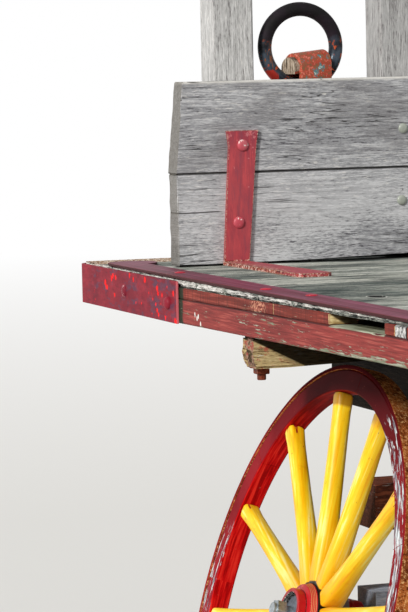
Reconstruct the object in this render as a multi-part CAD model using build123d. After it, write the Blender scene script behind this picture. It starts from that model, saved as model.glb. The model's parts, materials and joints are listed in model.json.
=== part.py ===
from build123d import *
import math
import os

os.makedirs("parts", exist_ok=True)

# Stations are measured forward from the rear end of the deck, y is to the wagon's left, z is up from the ground.
DECK_LENGTH = 4270.0
DECK_WIDTH = 1770.0
DECK_TOP = 1137.0
HALF_WIDTH = DECK_WIDTH / 2
SIDES = (-1, 1)
CUT = 2.0

# Running gear: 40 inch rear wheels and 36 inch front wheels, each with twelve spokes.
REAR_WHEEL_RADIUS = 508.0
FRONT_WHEEL_RADIUS = 457.0
REAR_AXLE_STATION = 1192.0
FRONT_AXLE_STATION = 3424.0
REAR_LEAN = 17.0
FRONT_LEAN = 6.0
RIM_INSET = 81.0
RIM_Y = HALF_WIDTH - RIM_INSET
RUNNING_CLEARANCE = 0.05

# Rim: iron tyre, sawn felloes and the dish of the spokes behind them.
TYRE_WIDTH = 48.0
TYRE_THICKNESS = 9.0
FELLOE_WIDTH = 44.0
FELLOE_DEPTH = 43.0
FELLOES_PER_WHEEL = 6
FELLOE_JOINT_PHASE = 15.0
SAW_JOINT = 1.2
SEAT_GAP = 0.3
SPOKES_PER_WHEEL = 12
SPOKE_STEP = 360.0 / SPOKES_PER_WHEEL
DISH = 33.0
SHOULDER_GAP = 1.5

# Tenons of a spoke: how far each goes into the hub and the felloe, across and deep.
ROOT_TENON_END = 48.0
ROOT_TENON_WIDTH = 14.0
ROOT_TENON_DEPTH = 34.0
TIP_TENON_LENGTH = 19.0
TIP_TENON_SIDE = 18.0
MORTISE_PLAY = 0.4

# Hub, turned from one block, and the iron arm that it runs on.
HUB_RADIUS = 68.0
HUB_NOSE_Z = 27.0
HUB_BACK_Z = -118.0
HUB_BAND_PROUD = 3.0
ARM_RADIUS = 30.0
ARM_LENGTH_INBOARD = 105.0
NOSE_RECESS_RADIUS = 42.0
NOSE_RECESS_DEPTH = 18.0
ARM_STUD_RADIUS = 14.0
ARM_STUD_END = 62.0
ARM_FACE_PROUD = 4.0
WASHER_RADIUS = 36.0
WASHER_THICKNESS = 6.0
NUT_RADIUS = 19.0
NUT_THICKNESS = 20.0
NUT_BACK = 6.0
COLLAR_RADIUS = 52.0
COLLAR_THICKNESS = 16.0
COLLAR_PLAY = 1.0

# Deck layers, from the top down.
PLANK_THICKNESS = 20.0
PLANK_WIDTHS = (206.0, 183.0, 212.0, 194.0, 176.0, 201.0, 188.0, 215.0, 179.0, 197.0, 190.0)
PLANK_GAP = 4.0
PLANK_INSET = 3.0
NARROWEST_PLANK = 100.0
FILLER_THICKNESS = 24.0
FILLER_INSET = 1.5
SILL_HEIGHT = 52.0
SILL_WIDTH = 60.0
SILL_TOP = DECK_TOP - PLANK_THICKNESS - FILLER_THICKNESS
SILL_BOTTOM = SILL_TOP - SILL_HEIGHT
INNER_SILL_Y = (-440.0, 0.0, 440.0)
INNER_SILL_WIDTH = 50.0
STRIP_THICKNESS = 6.0
STRIP_WIDTH = 75.0
STRIP_END = 145.0
STRIP_HEAD_RADIUS = 56.0
STRIP_INSET = 2.0
CORNER_RADIUS = 12.0
SMALLEST_CORNER = 6.0
STRAP_HEIGHT = 90.0
STRAP_SIDE = 710.0
STRAP_DROP = 4.0
STRAP_END = 260.0
STRAP_THICKNESS = 6.0
BEARER_WIDTH = 64.0
BEARER_HEIGHT = 50.0
BEARER_BOTTOM = SILL_BOTTOM - BEARER_HEIGHT
BEAM_Y = 300.0
BEAM_WIDTH = 90.0
BEAM_HEIGHT = 190.0
BEAM_END = 180.0
BEAM_BOTTOM = BEARER_BOTTOM - BEAM_HEIGHT

# Cross bearers: station, half length. The two at the ends stop short of the sills.
BEARERS = (
    (290.0, 600.0),
    (1127.0, HALF_WIDTH),
    (2135.0, HALF_WIDTH),
    (3143.0, HALF_WIDTH),
    (3980.0, 600.0),
)

# Filler strips: start and end station of each length. The two long breaks are slots for side stakes.
FILLER_RUNS = (
    (0.0, 1292.0),
    (1294.0, 1644.0),
    (1885.0, 1929.0),
    (1934.0, 2560.0),
    (2800.0, 3120.0),
    (3122.0, DECK_LENGTH),
)

# End racks.
RACK_INSET = 343.0
RACK_END_INSET = 129.0
RACK_THICKNESS = 60.0
RACK_SEAM = 206.0
RACK_SEAM_GAP = 0.6
RACK_BOARD_TOP = 411.0
RACK_FOOT_GAP = 12.0
RACK_FOOT_SEAT = 1.0
RACK_FOOT_FLAT = 250.0
RACK_FOOT_RISE = 300.0
STAKES_PER_RACK = 4
STAKE_WIDTH = 88.0
STAKE_DEPTH = 92.0
STAKE_FIRST = 238.0
STAKE_PITCH = (DECK_WIDTH - 2 * STAKE_FIRST - STAKE_WIDTH) / (STAKES_PER_RACK - 1)
STAKE_TOP = 1180.0
RAIL_LEVELS = ((700.0, 820.0), (1000.0, 1120.0))
RAIL_THICKNESS = 34.0
BRACKET_Y = 272.0
BRACKET_WIDTH = 65.0
BRACKET_FLARE = 75.0
BRACKET_FLARE_LENGTH = 34.0
BRACKET_HEIGHT = 300.0
BRACKET_FOOT = 475.0
BRACKET_LEAN = 11.0
BRACKET_FOOT_WIDTH = 76.0
BRACKET_THICKNESS = 8.0
BRACKET_CORNER_ALONG = 14.0
BRACKET_CORNER_ACROSS = 12.0

# Tie ring and the folded strap that holds it behind the rear rack.
RING_RADIUS = 86.0
RING_ROD = 16.0
RING_Y = 455.0
RING_Z = 483.0
RING_BEHIND = 37.0
SADDLE_Y = 472.0
SADDLE_Z = 439.0
SADDLE_WIDTH = 86.0
SADDLE_RADIUS = 34.0
SADDLE_THICKNESS = 9.0
SADDLE_TAIL_REAR = 110.0
SADDLE_TAIL_FRONT = 250.0
PLUG_LENGTH = 34.0
PLUG_PROUD = 13.0
PLUG_FLAT = 12.0
PLUG_SEAT = 0.5

# Axle trees, reach and hounds.
TREE_WIDTH = 100.0
TREE_END_Y = RIM_Y - 143.0
REAR_TREE_TOP = 535.0
REAR_TREE_BOTTOM = 395.0
FRONT_TREE_TOP = 475.0
FRONT_TREE_BOTTOM = 370.0
REACH_BOTTOM = REAR_TREE_TOP
REACH_TOP = REACH_BOTTOM + 70.0
REACH_HALF_WIDTH = 38.0
REACH_TAIL = 150.0
REACH_BEND = 200.0
REACH_NOSE = 60.0
REACH_DROP = 50.0
BOLSTER_END_Y = 560.0
REAR_BOLSTER_WIDTH = 120.0
REAR_BOLSTER_END_Y = 663.0
REAR_BOLSTER_END_BOTTOM = 660.0
REAR_BOLSTER_END_TOP = 752.0
FRONT_BOLSTER_WIDTH = 140.0
SAND_BOARD_WIDTH = 120.0
SAND_BOARD_END_Y = 540.0
SAND_BOARD_HEIGHT = 95.0
HOUND_LAYER = 90.0
SAND_BOTTOM = FRONT_TREE_TOP + HOUND_LAYER
SAND_TOP = SAND_BOTTOM + SAND_BOARD_HEIGHT

# Turntable plates and kingpin.
PLATE_THICKNESS = 10.0
PLATE_GAP = 0.3
PLATE_RADIUS = 300.0
PLATE_WIDTH = 60.0
LOWER_PLATE_TOP = SAND_TOP + PLATE_THICKNESS
UPPER_PLATE_BOTTOM = LOWER_PLATE_TOP + PLATE_GAP
FRONT_BOLSTER_BOTTOM = UPPER_PLATE_BOTTOM + PLATE_THICKNESS
KINGPIN_RADIUS = 16.0
KINGPIN_ENTRY = 50.0
KINGPIN_TAIL = 30.0
KINGPIN_HEAD_RADIUS = 32.0
KINGPIN_HEAD_THICKNESS = 14.0
KINGPIN_HEAD_PLAY = 1.0

# Tongue, hinged between the front hounds, with its eye on the ground.
TONGUE_HINGE_AHEAD = 400.0
TONGUE_HINGE_Z = 530.0
HINGE_PIN_RADIUS = 12.0
HINGE_PIN_LENGTH = 250.0
TONGUE_LENGTH = 3000.0
TONGUE_TIP_RADIUS = 34.0
TONGUE_EYE_THICKNESS = 26.0
EYE_BORE = 17.0
EYE_BAR_LENGTH = 256.0
EYE_BAR_WIDTH = 52.0
EYE_BAR_START = 2.0
EYE_CLEARANCE = 8.0
TONGUE_DROP = TONGUE_HINGE_Z - TONGUE_EYE_THICKNESS / 2
TONGUE_RUN = math.sqrt(TONGUE_LENGTH**2 - TONGUE_DROP**2)
TONGUE_SLOPE = math.degrees(math.asin(TONGUE_DROP / TONGUE_LENGTH))
HINGE_STATION = FRONT_AXLE_STATION + TONGUE_HINGE_AHEAD

OVERALL_LENGTH = HINGE_STATION + TONGUE_RUN + TONGUE_TIP_RADIUS + STRAP_THICKNESS
REAR_X = STRAP_THICKNESS - OVERALL_LENGTH / 2

# Spoke sections: how far along from hub to rim, width, depth, corner chamfer.
SPOKE_SECTIONS = (
    (0.0, 35.5, 46.0, 4.0),
    (0.24, 38.0, 42.0, 12.0),
    (1.0, 33.0, 34.0, 10.0),
)

# Pole sections: distance from the hinge, width, depth. All have the same corner chamfer.
POLE_SECTIONS = (
    (-60.0, 108.0, 80.0),
    (400.0, 104.0, 78.0),
    (TONGUE_LENGTH - 260.0, 66.0, 56.0),
)
POLE_CHAMFER = 8.0

# Hub profile: radius, z. It starts at the back of the box and ends in the nose recess.
HUB_BOX_RADIUS = ARM_RADIUS + RUNNING_CLEARANCE
NOSE_RECESS_Z = HUB_NOSE_Z - NOSE_RECESS_DEPTH
HUB_PROFILE = (
    (HUB_BOX_RADIUS, HUB_BACK_Z),
    (56.0, HUB_BACK_Z),
    (56.0, HUB_BACK_Z + 24),
    (53.0, HUB_BACK_Z + 25),
    (54.0, HUB_BACK_Z + 34),
    (62.0, -DISH - 46),
    (62.0 + HUB_BAND_PROUD, -DISH - 45),
    (64.0 + HUB_BAND_PROUD, -DISH - 30),
    (HUB_RADIUS, -DISH - 26),
    (HUB_RADIUS, -DISH + 26),
    (62.0 + HUB_BAND_PROUD, -DISH + 29),
    (60.0 + HUB_BAND_PROUD, -DISH + 40),
    (60.0, -DISH + 41),
    (50.0, HUB_NOSE_Z - 18),
    (51.0, HUB_NOSE_Z - 17),
    (51.0, HUB_NOSE_Z),
    (NOSE_RECESS_RADIUS, HUB_NOSE_Z),
    (NOSE_RECESS_RADIUS, NOSE_RECESS_Z),
    (HUB_BOX_RADIUS, NOSE_RECESS_Z),
)

# Rear bolster outline from below to above: distance from the centre line, z.
REAR_BOLSTER_OUTLINE = (
    (270.0, REACH_TOP),
    (450.0, REAR_BOLSTER_END_BOTTOM),
    (REAR_BOLSTER_END_Y, REAR_BOLSTER_END_BOTTOM),
    (REAR_BOLSTER_END_Y, REAR_BOLSTER_END_TOP),
    (470.0, REAR_BOLSTER_END_TOP),
    (400.0, BEAM_BOTTOM),
)

# Rear hound outline: station ahead of the rear axle, inner or outer distance from the centre line.
HOUND_SPREAD = 330.0
HOUND_WIDTH = 58.0
REAR_HOUND_OUTLINE = (
    (-150.0, HOUND_SPREAD),
    (60.0, HOUND_SPREAD),
    (900.0, REACH_HALF_WIDTH + 0.5),
    (1050.0, REACH_HALF_WIDTH + 0.5),
    (1050.0, 90.0),
    (880.0, 96.0),
    (80.0, HOUND_SPREAD + HOUND_WIDTH),
    (-150.0, HOUND_SPREAD + HOUND_WIDTH),
)

# Front hound outline: station ahead of the front axle, distance from the centre line.
FRONT_HOUND_OUTLINE = (
    (-160.0, 250.0),
    (70.0, 250.0),
    (TONGUE_HINGE_AHEAD - 110, 62.0),
    (TONGUE_HINGE_AHEAD + 50, 62.0),
    (TONGUE_HINGE_AHEAD + 50, 112.0),
    (TONGUE_HINGE_AHEAD - 80, 118.0),
    (100.0, 306.0),
    (-160.0, 306.0),
)


def axis_height(radius, lean):
    """Height of a leaning wheel's middle when its tyre's lower edge stands on the ground."""
    angle = math.radians(lean)
    return radius * math.cos(angle) + TYRE_WIDTH / 2 * math.sin(angle)


# Wheels: name, station, side, radius, lean, angle of the first spoke.
WHEELS = (
    ("rear_right", REAR_AXLE_STATION, -1, REAR_WHEEL_RADIUS, REAR_LEAN, 9.5),
    ("rear_left", REAR_AXLE_STATION, 1, REAR_WHEEL_RADIUS, REAR_LEAN, 22.0),
    ("front_right", FRONT_AXLE_STATION, -1, FRONT_WHEEL_RADIUS, FRONT_LEAN, 3.0),
    ("front_left", FRONT_AXLE_STATION, 1, FRONT_WHEEL_RADIUS, FRONT_LEAN, 17.0),
)


def block(s0, s1, y0, y1, z0, z1):
    """A squared timber between two stations, two sides and two heights."""
    centre = ((s0 + s1) / 2 + REAR_X, (y0 + y1) / 2, (z0 + z1) / 2)
    return Pos(*centre) * Box(abs(s1 - s0), abs(y1 - y0), abs(z1 - z0))


def prism_x(points, s0, s1):
    """An outline drawn in y and z, carried from one station to another."""
    face = Face(Wire.make_polygon([Vector(s0 + REAR_X, y, z) for y, z in points], close=True))
    return Solid.extrude(face, Vector(s1 - s0, 0, 0))


def prism_y(points, y0, y1):
    """An outline drawn in station and z, carried across the wagon."""
    face = Face(Wire.make_polygon([Vector(s + REAR_X, y0, z) for s, z in points], close=True))
    return Solid.extrude(face, Vector(0, y1 - y0, 0))


def prism_z(points, z0, z1):
    """An outline drawn in station and y, carried upward."""
    face = Face(Wire.make_polygon([Vector(s + REAR_X, y, z0) for s, y in points], close=True))
    return Solid.extrude(face, Vector(0, 0, z1 - z0))


def upright(station, radius, z0, z1):
    """A round bar on the centre line, standing between two heights."""
    return Pos(station + REAR_X, 0, (z0 + z1) / 2) * Cylinder(radius, z1 - z0)


def chamfered_section(x, z, width, depth, chamfer):
    """A bar's section across x, squared with its four corners taken off."""
    w = width / 2
    d = depth / 2
    c = chamfer
    corners = [(-w + c, -d), (w - c, -d), (w, -d + c), (w, d - c), (w - c, d), (-w + c, d), (-w, d - c), (-w, -d + c)]
    return Wire.make_polygon([Vector(x, y, z + dz) for y, dz in corners], close=True)


def save(name, *shapes):
    """Writes one sub-part, which may be several solids that don't touch."""
    solids = [solid for shape in shapes for solid in shape.solids()]
    if len(solids) == 1:
        whole = solids[0]
    else:
        whole = Compound(children=solids)
    export_step(whole, f"parts/{name}.step")


def rounded_slab(inset, z0, z1):
    """The deck's outline, moved inward by an inset, as a slab between two heights."""
    radius = max(CORNER_RADIUS - inset, SMALLEST_CORNER)
    outline = RectangleRounded(DECK_LENGTH - 2 * inset, DECK_WIDTH - 2 * inset, radius)
    return Pos(DECK_LENGTH / 2 + REAR_X, 0, z0) * extrude(outline, z1 - z0)


# Deck: boards of mixed widths laid across, with open joints.
def deck_planks():
    outline = rounded_slab(PLANK_INSET, DECK_TOP - PLANK_THICKNESS, DECK_TOP)
    planks = []
    start = PLANK_INSET
    while start < DECK_LENGTH - PLANK_INSET:
        end = start + PLANK_WIDTHS[len(planks) % len(PLANK_WIDTHS)]
        if end > DECK_LENGTH - NARROWEST_PLANK:
            end = DECK_LENGTH
        plank = block(start, end, -HALF_WIDTH, HALF_WIDTH, DECK_TOP - PLANK_THICKNESS, DECK_TOP)
        planks.append(plank & outline)
        start = end + PLANK_GAP
    return planks


# Filler strips between the boards and the side sills.
def filler_strips():
    outline = rounded_slab(FILLER_INSET, SILL_TOP, SILL_TOP + FILLER_THICKNESS)
    strips = []
    for side in SIDES:
        for start, end in FILLER_RUNS:
            outer = side * HALF_WIDTH
            inner = side * (HALF_WIDTH - SILL_WIDTH)
            strips.append(block(start, end, outer, inner, SILL_TOP, SILL_TOP + FILLER_THICKNESS) & outline)
    return strips


# Deck frame: side, end and inner sills on cross bearers, all carried by two deep beams.
def side_sills():
    outline = rounded_slab(0, SILL_BOTTOM, SILL_TOP)
    sills = []
    for side in SIDES:
        outer = side * HALF_WIDTH
        inner = side * (HALF_WIDTH - SILL_WIDTH)
        sills.append(block(0, DECK_LENGTH, outer, inner, SILL_BOTTOM, SILL_TOP) & outline)
    return sills


def end_sills():
    reach = HALF_WIDTH - SILL_WIDTH
    top = DECK_TOP - PLANK_THICKNESS
    starts = (0.0, DECK_LENGTH - SILL_WIDTH)
    return [block(start, start + SILL_WIDTH, -reach, reach, SILL_BOTTOM, top) for start in starts]


def inner_sills():
    half = INNER_SILL_WIDTH / 2
    top = DECK_TOP - PLANK_THICKNESS
    return [block(SILL_WIDTH, DECK_LENGTH - SILL_WIDTH, y - half, y + half, SILL_BOTTOM, top) for y in INNER_SILL_Y]


def cross_bearers():
    bearers = []
    for station, half_length in BEARERS:
        near = station - BEARER_WIDTH / 2
        bearers.append(block(near, near + BEARER_WIDTH, -half_length, half_length, BEARER_BOTTOM, SILL_BOTTOM))
    return bearers


def main_beams():
    half = BEAM_WIDTH / 2
    beams = []
    for side in SIDES:
        y = side * BEAM_Y
        beams.append(block(BEAM_END, DECK_LENGTH - BEAM_END, y - half, y + half, BEAM_BOTTOM, BEARER_BOTTOM))
    return beams


# Flat iron along each long edge of the deck, with a broad rounded head at each end.
def edge_strips():
    top = DECK_TOP + STRIP_THICKNESS
    first = STRIP_END + STRIP_HEAD_RADIUS
    last = DECK_LENGTH - first
    head_y = HALF_WIDTH - STRIP_INSET - STRIP_HEAD_RADIUS
    strips = []
    for side in SIDES:
        outer = side * (HALF_WIDTH - STRIP_INSET)
        inner = side * (HALF_WIDTH - STRIP_INSET - STRIP_WIDTH)
        strip = block(first, last, outer, inner, DECK_TOP, top)
        for station in (first, last):
            head = Cylinder(STRIP_HEAD_RADIUS, STRIP_THICKNESS)
            strip += Pos(station + REAR_X, side * head_y, (DECK_TOP + top) / 2) * head
        strips.append(strip)
    return strips


# Corner straps, bent round the deck's rounded corners.
def corner_straps():
    top = DECK_TOP - STRAP_DROP
    bottom = top - STRAP_HEIGHT
    loop = rounded_slab(-STRAP_THICKNESS, bottom, top) - rounded_slab(0, bottom - CUT, top + CUT)
    beyond = 3 * STRAP_THICKNESS
    straps = []
    for end_station, inward in ((0.0, 1), (DECK_LENGTH, -1)):
        for side in SIDES:
            s0 = end_station - inward * beyond
            s1 = end_station + inward * STRAP_SIDE
            y0 = side * (HALF_WIDTH + beyond)
            y1 = side * (HALF_WIDTH - STRAP_END)
            straps.append(loop & block(s0, s1, y0, y1, bottom - CUT, top + CUT))
    return straps


# Wheels, drawn about their own axis with z outboard and the rim's middle plane at z = 0.
def wheel_tyre(radius):
    return Cylinder(radius, TYRE_WIDTH) - Cylinder(radius - TYRE_THICKNESS, TYRE_WIDTH + CUT)


def felloe_inner_radius(radius):
    return radius - TYRE_THICKNESS - SEAT_GAP - FELLOE_DEPTH


def wheel_felloes(radius):
    """Six sawn lengths inside the tyre, mortised for two spokes each."""
    inner = felloe_inner_radius(radius)
    ring = Cylinder(inner + FELLOE_DEPTH, FELLOE_WIDTH) - Cylinder(inner, FELLOE_WIDTH + CUT)
    for index in range(FELLOES_PER_WHEEL // 2):
        joint = Rot(0, 0, FELLOE_JOINT_PHASE + index * 360 / FELLOES_PER_WHEEL)
        ring -= joint * Box(2 * radius + CUT, SAW_JOINT, FELLOE_WIDTH + CUT)
    depth = TIP_TENON_LENGTH + 2 * CUT
    side = TIP_TENON_SIDE + MORTISE_PLAY
    for index in range(SPOKES_PER_WHEEL):
        ring -= Rot(0, 0, index * SPOKE_STEP) * Pos(inner + depth / 2 - CUT, 0, 0) * Box(depth, side, side)
    return ring


def wheel_spokes(radius):
    """Twelve dished spokes, square at the hub and rounded off beyond it, with a tenon at each end."""
    inner = felloe_inner_radius(radius)
    root = HUB_RADIUS + SEAT_GAP
    tip = inner - SHOULDER_GAP
    wires = []
    for along, width, depth, chamfer in SPOKE_SECTIONS:
        x = root + along * (tip - root)
        wires.append(chamfered_section(x, -DISH * (1 - along), width, depth, chamfer))
    body = Solid.make_loft(wires, ruled=True)
    root_end = root + CUT
    root_middle = (ROOT_TENON_END + root_end) / 2
    root_tenon = Pos(root_middle, 0, -DISH) * Box(root_end - ROOT_TENON_END, ROOT_TENON_WIDTH, ROOT_TENON_DEPTH)
    tip_start = tip - CUT
    tip_length = inner + TIP_TENON_LENGTH - tip_start
    tip_tenon = Pos(tip_start + tip_length / 2, 0, 0) * Box(tip_length, TIP_TENON_SIDE, TIP_TENON_SIDE)
    spoke = body + root_tenon + tip_tenon
    return [Rot(0, 0, index * SPOKE_STEP) * spoke for index in range(SPOKES_PER_WHEEL)]


def wheel_hub():
    """The turned hub with its bands, bored for the arm and mortised for the spokes."""
    face = Face(Wire.make_polygon([Vector(r, 0, z) for r, z in HUB_PROFILE], close=True))
    hub = Solid.revolve(face, 360, Axis.Z)
    deepest = ROOT_TENON_END - CUT
    length = HUB_RADIUS + 2 * CUT + HUB_BAND_PROUD - deepest
    width = ROOT_TENON_WIDTH + MORTISE_PLAY
    depth = ROOT_TENON_DEPTH + MORTISE_PLAY
    for index in range(SPOKES_PER_WHEEL):
        hub -= Rot(0, 0, index * SPOKE_STEP) * Pos(deepest + length / 2, 0, -DISH) * Box(length, width, depth)
    return hub


def disc(radius, z0, z1):
    return Pos(0, 0, (z0 + z1) / 2) * Cylinder(radius, z1 - z0)


def axle_arm():
    """Iron arm with its collar, washer, stud and nut, along z outboard."""
    collar_top = HUB_BACK_Z - COLLAR_PLAY
    arm_face = NOSE_RECESS_Z + ARM_FACE_PROUD
    arm = disc(ARM_RADIUS, HUB_BACK_Z - ARM_LENGTH_INBOARD, arm_face)
    arm += disc(COLLAR_RADIUS, collar_top - COLLAR_THICKNESS, collar_top)
    arm += disc(WASHER_RADIUS, arm_face, arm_face + WASHER_THICKNESS)
    arm += disc(ARM_STUD_RADIUS, NOSE_RECESS_Z, ARM_STUD_END)
    nut = extrude(RegularPolygon(NUT_RADIUS, 6, major_radius=False), NUT_THICKNESS)
    return arm + Pos(0, 0, ARM_STUD_END - NUT_BACK - NUT_THICKNESS) * nut


def wheel_place(station, side, radius, lean, phase):
    """The wheel's own frame: its z axis runs outboard and up by the lean."""
    turn = Rot(-side * (90 - lean), 0, 0) * Rot(0, 0, phase)
    return Pos(station + REAR_X, side * RIM_Y, axis_height(radius, lean)) * turn


# Running gear: axle trees with iron arms let into their ends, reach, hounds and bolsters.
def axle_tree(station, bottom, top, arms):
    half = TREE_WIDTH / 2
    tree = block(station - half, station + half, -TREE_END_Y, TREE_END_Y, bottom, top)
    for arm in arms:
        tree -= arm
    return tree


def reach_pole():
    """The pole from the rear axle to the kingpin, stepped down to the front gear."""
    outline = []
    for height in (REACH_BOTTOM, REACH_TOP):
        line = [
            (REAR_AXLE_STATION - REACH_TAIL, height),
            (REAR_AXLE_STATION + REACH_BEND, height),
            (FRONT_AXLE_STATION - REACH_BEND, height - REACH_DROP),
            (FRONT_AXLE_STATION + REACH_NOSE, height - REACH_DROP),
        ]
        outline += line if height == REACH_BOTTOM else line[::-1]
    return prism_y(outline, -REACH_HALF_WIDTH, REACH_HALF_WIDTH)


def hounds(outline, axle_station, bottom, top):
    """A pair of curved-in timbers from one outline, mirrored to the other side."""
    pair = []
    for side in SIDES:
        pair.append(prism_z([(axle_station + s, side * y) for s, y in outline], bottom, top))
    return pair


def cross_timber(station, width, end_y, bottom, top):
    return block(station - width / 2, station + width / 2, -end_y, end_y, bottom, top)


# The rear bolster is deep where it sits on the reach and under the beams, and slim at its ends.
def rear_bolster():
    outline = []
    for y, z in REAR_BOLSTER_OUTLINE:
        outline.append((y, z))
    for y, z in reversed(REAR_BOLSTER_OUTLINE):
        outline.append((-y, z))
    near = REAR_AXLE_STATION - REAR_BOLSTER_WIDTH / 2
    return prism_x(outline, near, near + REAR_BOLSTER_WIDTH)


def turntable_plate(bottom):
    top = bottom + PLATE_THICKNESS
    plate = upright(FRONT_AXLE_STATION, PLATE_RADIUS, bottom, top)
    return plate - upright(FRONT_AXLE_STATION, PLATE_RADIUS - PLATE_WIDTH, bottom - CUT, top + CUT)


def kingpin():
    head_top = FRONT_TREE_BOTTOM - KINGPIN_HEAD_PLAY
    pin_top = FRONT_BOLSTER_BOTTOM + KINGPIN_ENTRY
    pin = upright(FRONT_AXLE_STATION, KINGPIN_RADIUS, FRONT_TREE_BOTTOM - KINGPIN_TAIL, pin_top)
    return pin + upright(FRONT_AXLE_STATION, KINGPIN_HEAD_RADIUS, head_top - KINGPIN_HEAD_THICKNESS, head_top)


# Tongue: a tapered pole and the forged eye at its tip.
def hinge_bar(radius, length):
    return Pos(HINGE_STATION + REAR_X, 0, TONGUE_HINGE_Z) * Rot(90, 0, 0) * Cylinder(radius, length)


def tongue_pole():
    wires = [chamfered_section(x, 0, width, depth, POLE_CHAMFER) for x, width, depth in POLE_SECTIONS]
    pole = Solid.make_loft(wires, ruled=True)
    pole -= Rot(90, 0, 0) * Cylinder(HINGE_PIN_RADIUS + RUNNING_CLEARANCE, HINGE_PIN_LENGTH)
    return Pos(HINGE_STATION + REAR_X, 0, TONGUE_HINGE_Z) * Rot(0, TONGUE_SLOPE, 0) * pole


def tongue_eye():
    """A ring that lies flat on the ground and a bar that runs up along the pole's slope."""
    half = TONGUE_EYE_THICKNESS / 2
    bar_middle = -EYE_BAR_START - EYE_BAR_LENGTH / 2
    bar = Rot(0, TONGUE_SLOPE, 0) * Pos(bar_middle, 0, 0) * Box(EYE_BAR_LENGTH, EYE_BAR_WIDTH, TONGUE_EYE_THICKNESS)
    bar -= disc(TONGUE_TIP_RADIUS + EYE_CLEARANCE, half, TONGUE_DROP)
    bar -= Pos(bar_middle, 0, -TONGUE_DROP / 2 - half) * Box(2 * EYE_BAR_LENGTH, 2 * EYE_BAR_WIDTH, TONGUE_DROP)
    eye = Cylinder(TONGUE_TIP_RADIUS, TONGUE_EYE_THICKNESS) + bar - Cylinder(EYE_BORE, 3 * TONGUE_EYE_THICKNESS)
    return Pos(HINGE_STATION + REAR_X + TONGUE_RUN, 0, half) * eye


# End racks: two wide boards low down, four stakes behind them and rails near the top.
def rack_lower_board(face_station, back_station):
    """The lower board rests on the deck near its ends and is hollowed between them."""
    board_y = HALF_WIDTH - RACK_END_INSET
    top = DECK_TOP + RACK_SEAM
    left_half = [
        (board_y, DECK_TOP + RACK_FOOT_SEAT),
        (board_y - RACK_FOOT_FLAT, DECK_TOP + RACK_FOOT_SEAT),
        (board_y - RACK_FOOT_RISE, DECK_TOP + RACK_FOOT_GAP / 2),
    ]
    right_half = [(-y, z) for y, z in left_half]
    outline = [(-board_y, top)] + right_half + [(0, DECK_TOP + RACK_FOOT_GAP)] + left_half[::-1] + [(board_y, top)]
    return prism_x(outline, back_station, face_station)


def rack_upper_board(face_station, back_station):
    board_y = HALF_WIDTH - RACK_END_INSET
    low = DECK_TOP + RACK_SEAM + RACK_SEAM_GAP
    return block(back_station, face_station, -board_y, board_y, low, DECK_TOP + RACK_BOARD_TOP)


def rack_bracket(face_station, inward, y):
    """An L iron with a flared upper end and a long foot on the deck. It leans out a little toward its foot."""
    w = BRACKET_WIDTH / 2
    flare = BRACKET_FLARE / 2
    sole = BRACKET_FOOT_WIDTH / 2
    top = DECK_TOP + BRACKET_HEIGHT
    neck = top - BRACKET_FLARE_LENGTH
    heel = y + math.copysign(BRACKET_LEAN, y)
    leg = [
        (heel - w, DECK_TOP),
        (heel + w, DECK_TOP),
        (y + w, neck),
        (y + flare, top),
        (y - flare, top),
        (y - w, neck),
    ]
    tip = face_station + inward * BRACKET_FOOT
    shoulder = tip - inward * BRACKET_CORNER_ALONG
    nose = sole - BRACKET_CORNER_ACROSS
    foot = [
        (face_station, heel - w),
        (shoulder, y - sole),
        (tip, y - nose),
        (tip, y + nose),
        (shoulder, y + sole),
        (face_station, heel + w),
    ]
    upright_leg = prism_x(leg, face_station, face_station + inward * BRACKET_THICKNESS)
    return upright_leg + prism_z(foot, DECK_TOP, DECK_TOP + BRACKET_THICKNESS)


# Tie ring, held upright in a folded strap behind the rear rack, with a plug at the fold's open end.
RING_STATION = RACK_INSET - RACK_THICKNESS - RING_BEHIND


def tie_ring():
    centre = (RING_STATION + REAR_X, -HALF_WIDTH + RING_Y, DECK_TOP + RING_Z)
    return Pos(*centre) * Rot(0, 90, 0) * Torus(RING_RADIUS, RING_ROD)


def ring_eye():
    y = -HALF_WIDTH + SADDLE_Y
    z = DECK_TOP + SADDLE_Z
    y0 = y - SADDLE_WIDTH / 2
    y1 = y + SADDLE_WIDTH / 2
    inner = SADDLE_RADIUS - SADDLE_THICKNESS
    mouth = 2 * SADDLE_RADIUS
    roll = Pos(RING_STATION + REAR_X, y, z) * Rot(90, 0, 0)
    strap = roll * Cylinder(SADDLE_RADIUS, SADDLE_WIDTH)
    strap += block(RING_STATION + inner, RING_STATION + SADDLE_RADIUS, y0, y1, z - SADDLE_TAIL_FRONT, z)
    strap += block(RING_STATION - SADDLE_RADIUS, RING_STATION - inner, y0, y1, z - SADDLE_TAIL_REAR, z)
    strap -= roll * Cylinder(inner, SADDLE_WIDTH + CUT)
    strap -= block(RING_STATION - inner, RING_STATION + inner, y0 - CUT, y1 + CUT, z - mouth, z)
    plug_y = y0 - PLUG_PROUD
    plug = roll * Pos(0, 0, -(plug_y + PLUG_LENGTH / 2 - y)) * Cylinder(inner + PLUG_SEAT, PLUG_LENGTH)
    plug -= block(RING_STATION - mouth, RING_STATION + mouth, plug_y - CUT, y1 + CUT, z - mouth, z - PLUG_FLAT)
    return strap + plug


save("deck_planks", *deck_planks())
save("filler_strips", *filler_strips())
save("side_sills", *side_sills())
save("end_sills", *end_sills())
save("inner_sills", *inner_sills())
save("cross_bearers", *cross_bearers())
save("main_beams", *main_beams())
save("edge_strips", *edge_strips())
save("corner_straps", *corner_straps())

arms = {}
for name, station, side, radius, lean, phase in WHEELS:
    place = wheel_place(station, side, radius, lean, phase)
    save(f"wheel_{name}_tyre", place * wheel_tyre(radius))
    save(f"wheel_{name}_felloes", place * wheel_felloes(radius))
    save(f"wheel_{name}_spokes", *[place * spoke for spoke in wheel_spokes(radius)])
    save(f"wheel_{name}_hub", place * wheel_hub())
    arms[name] = place * axle_arm()

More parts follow.
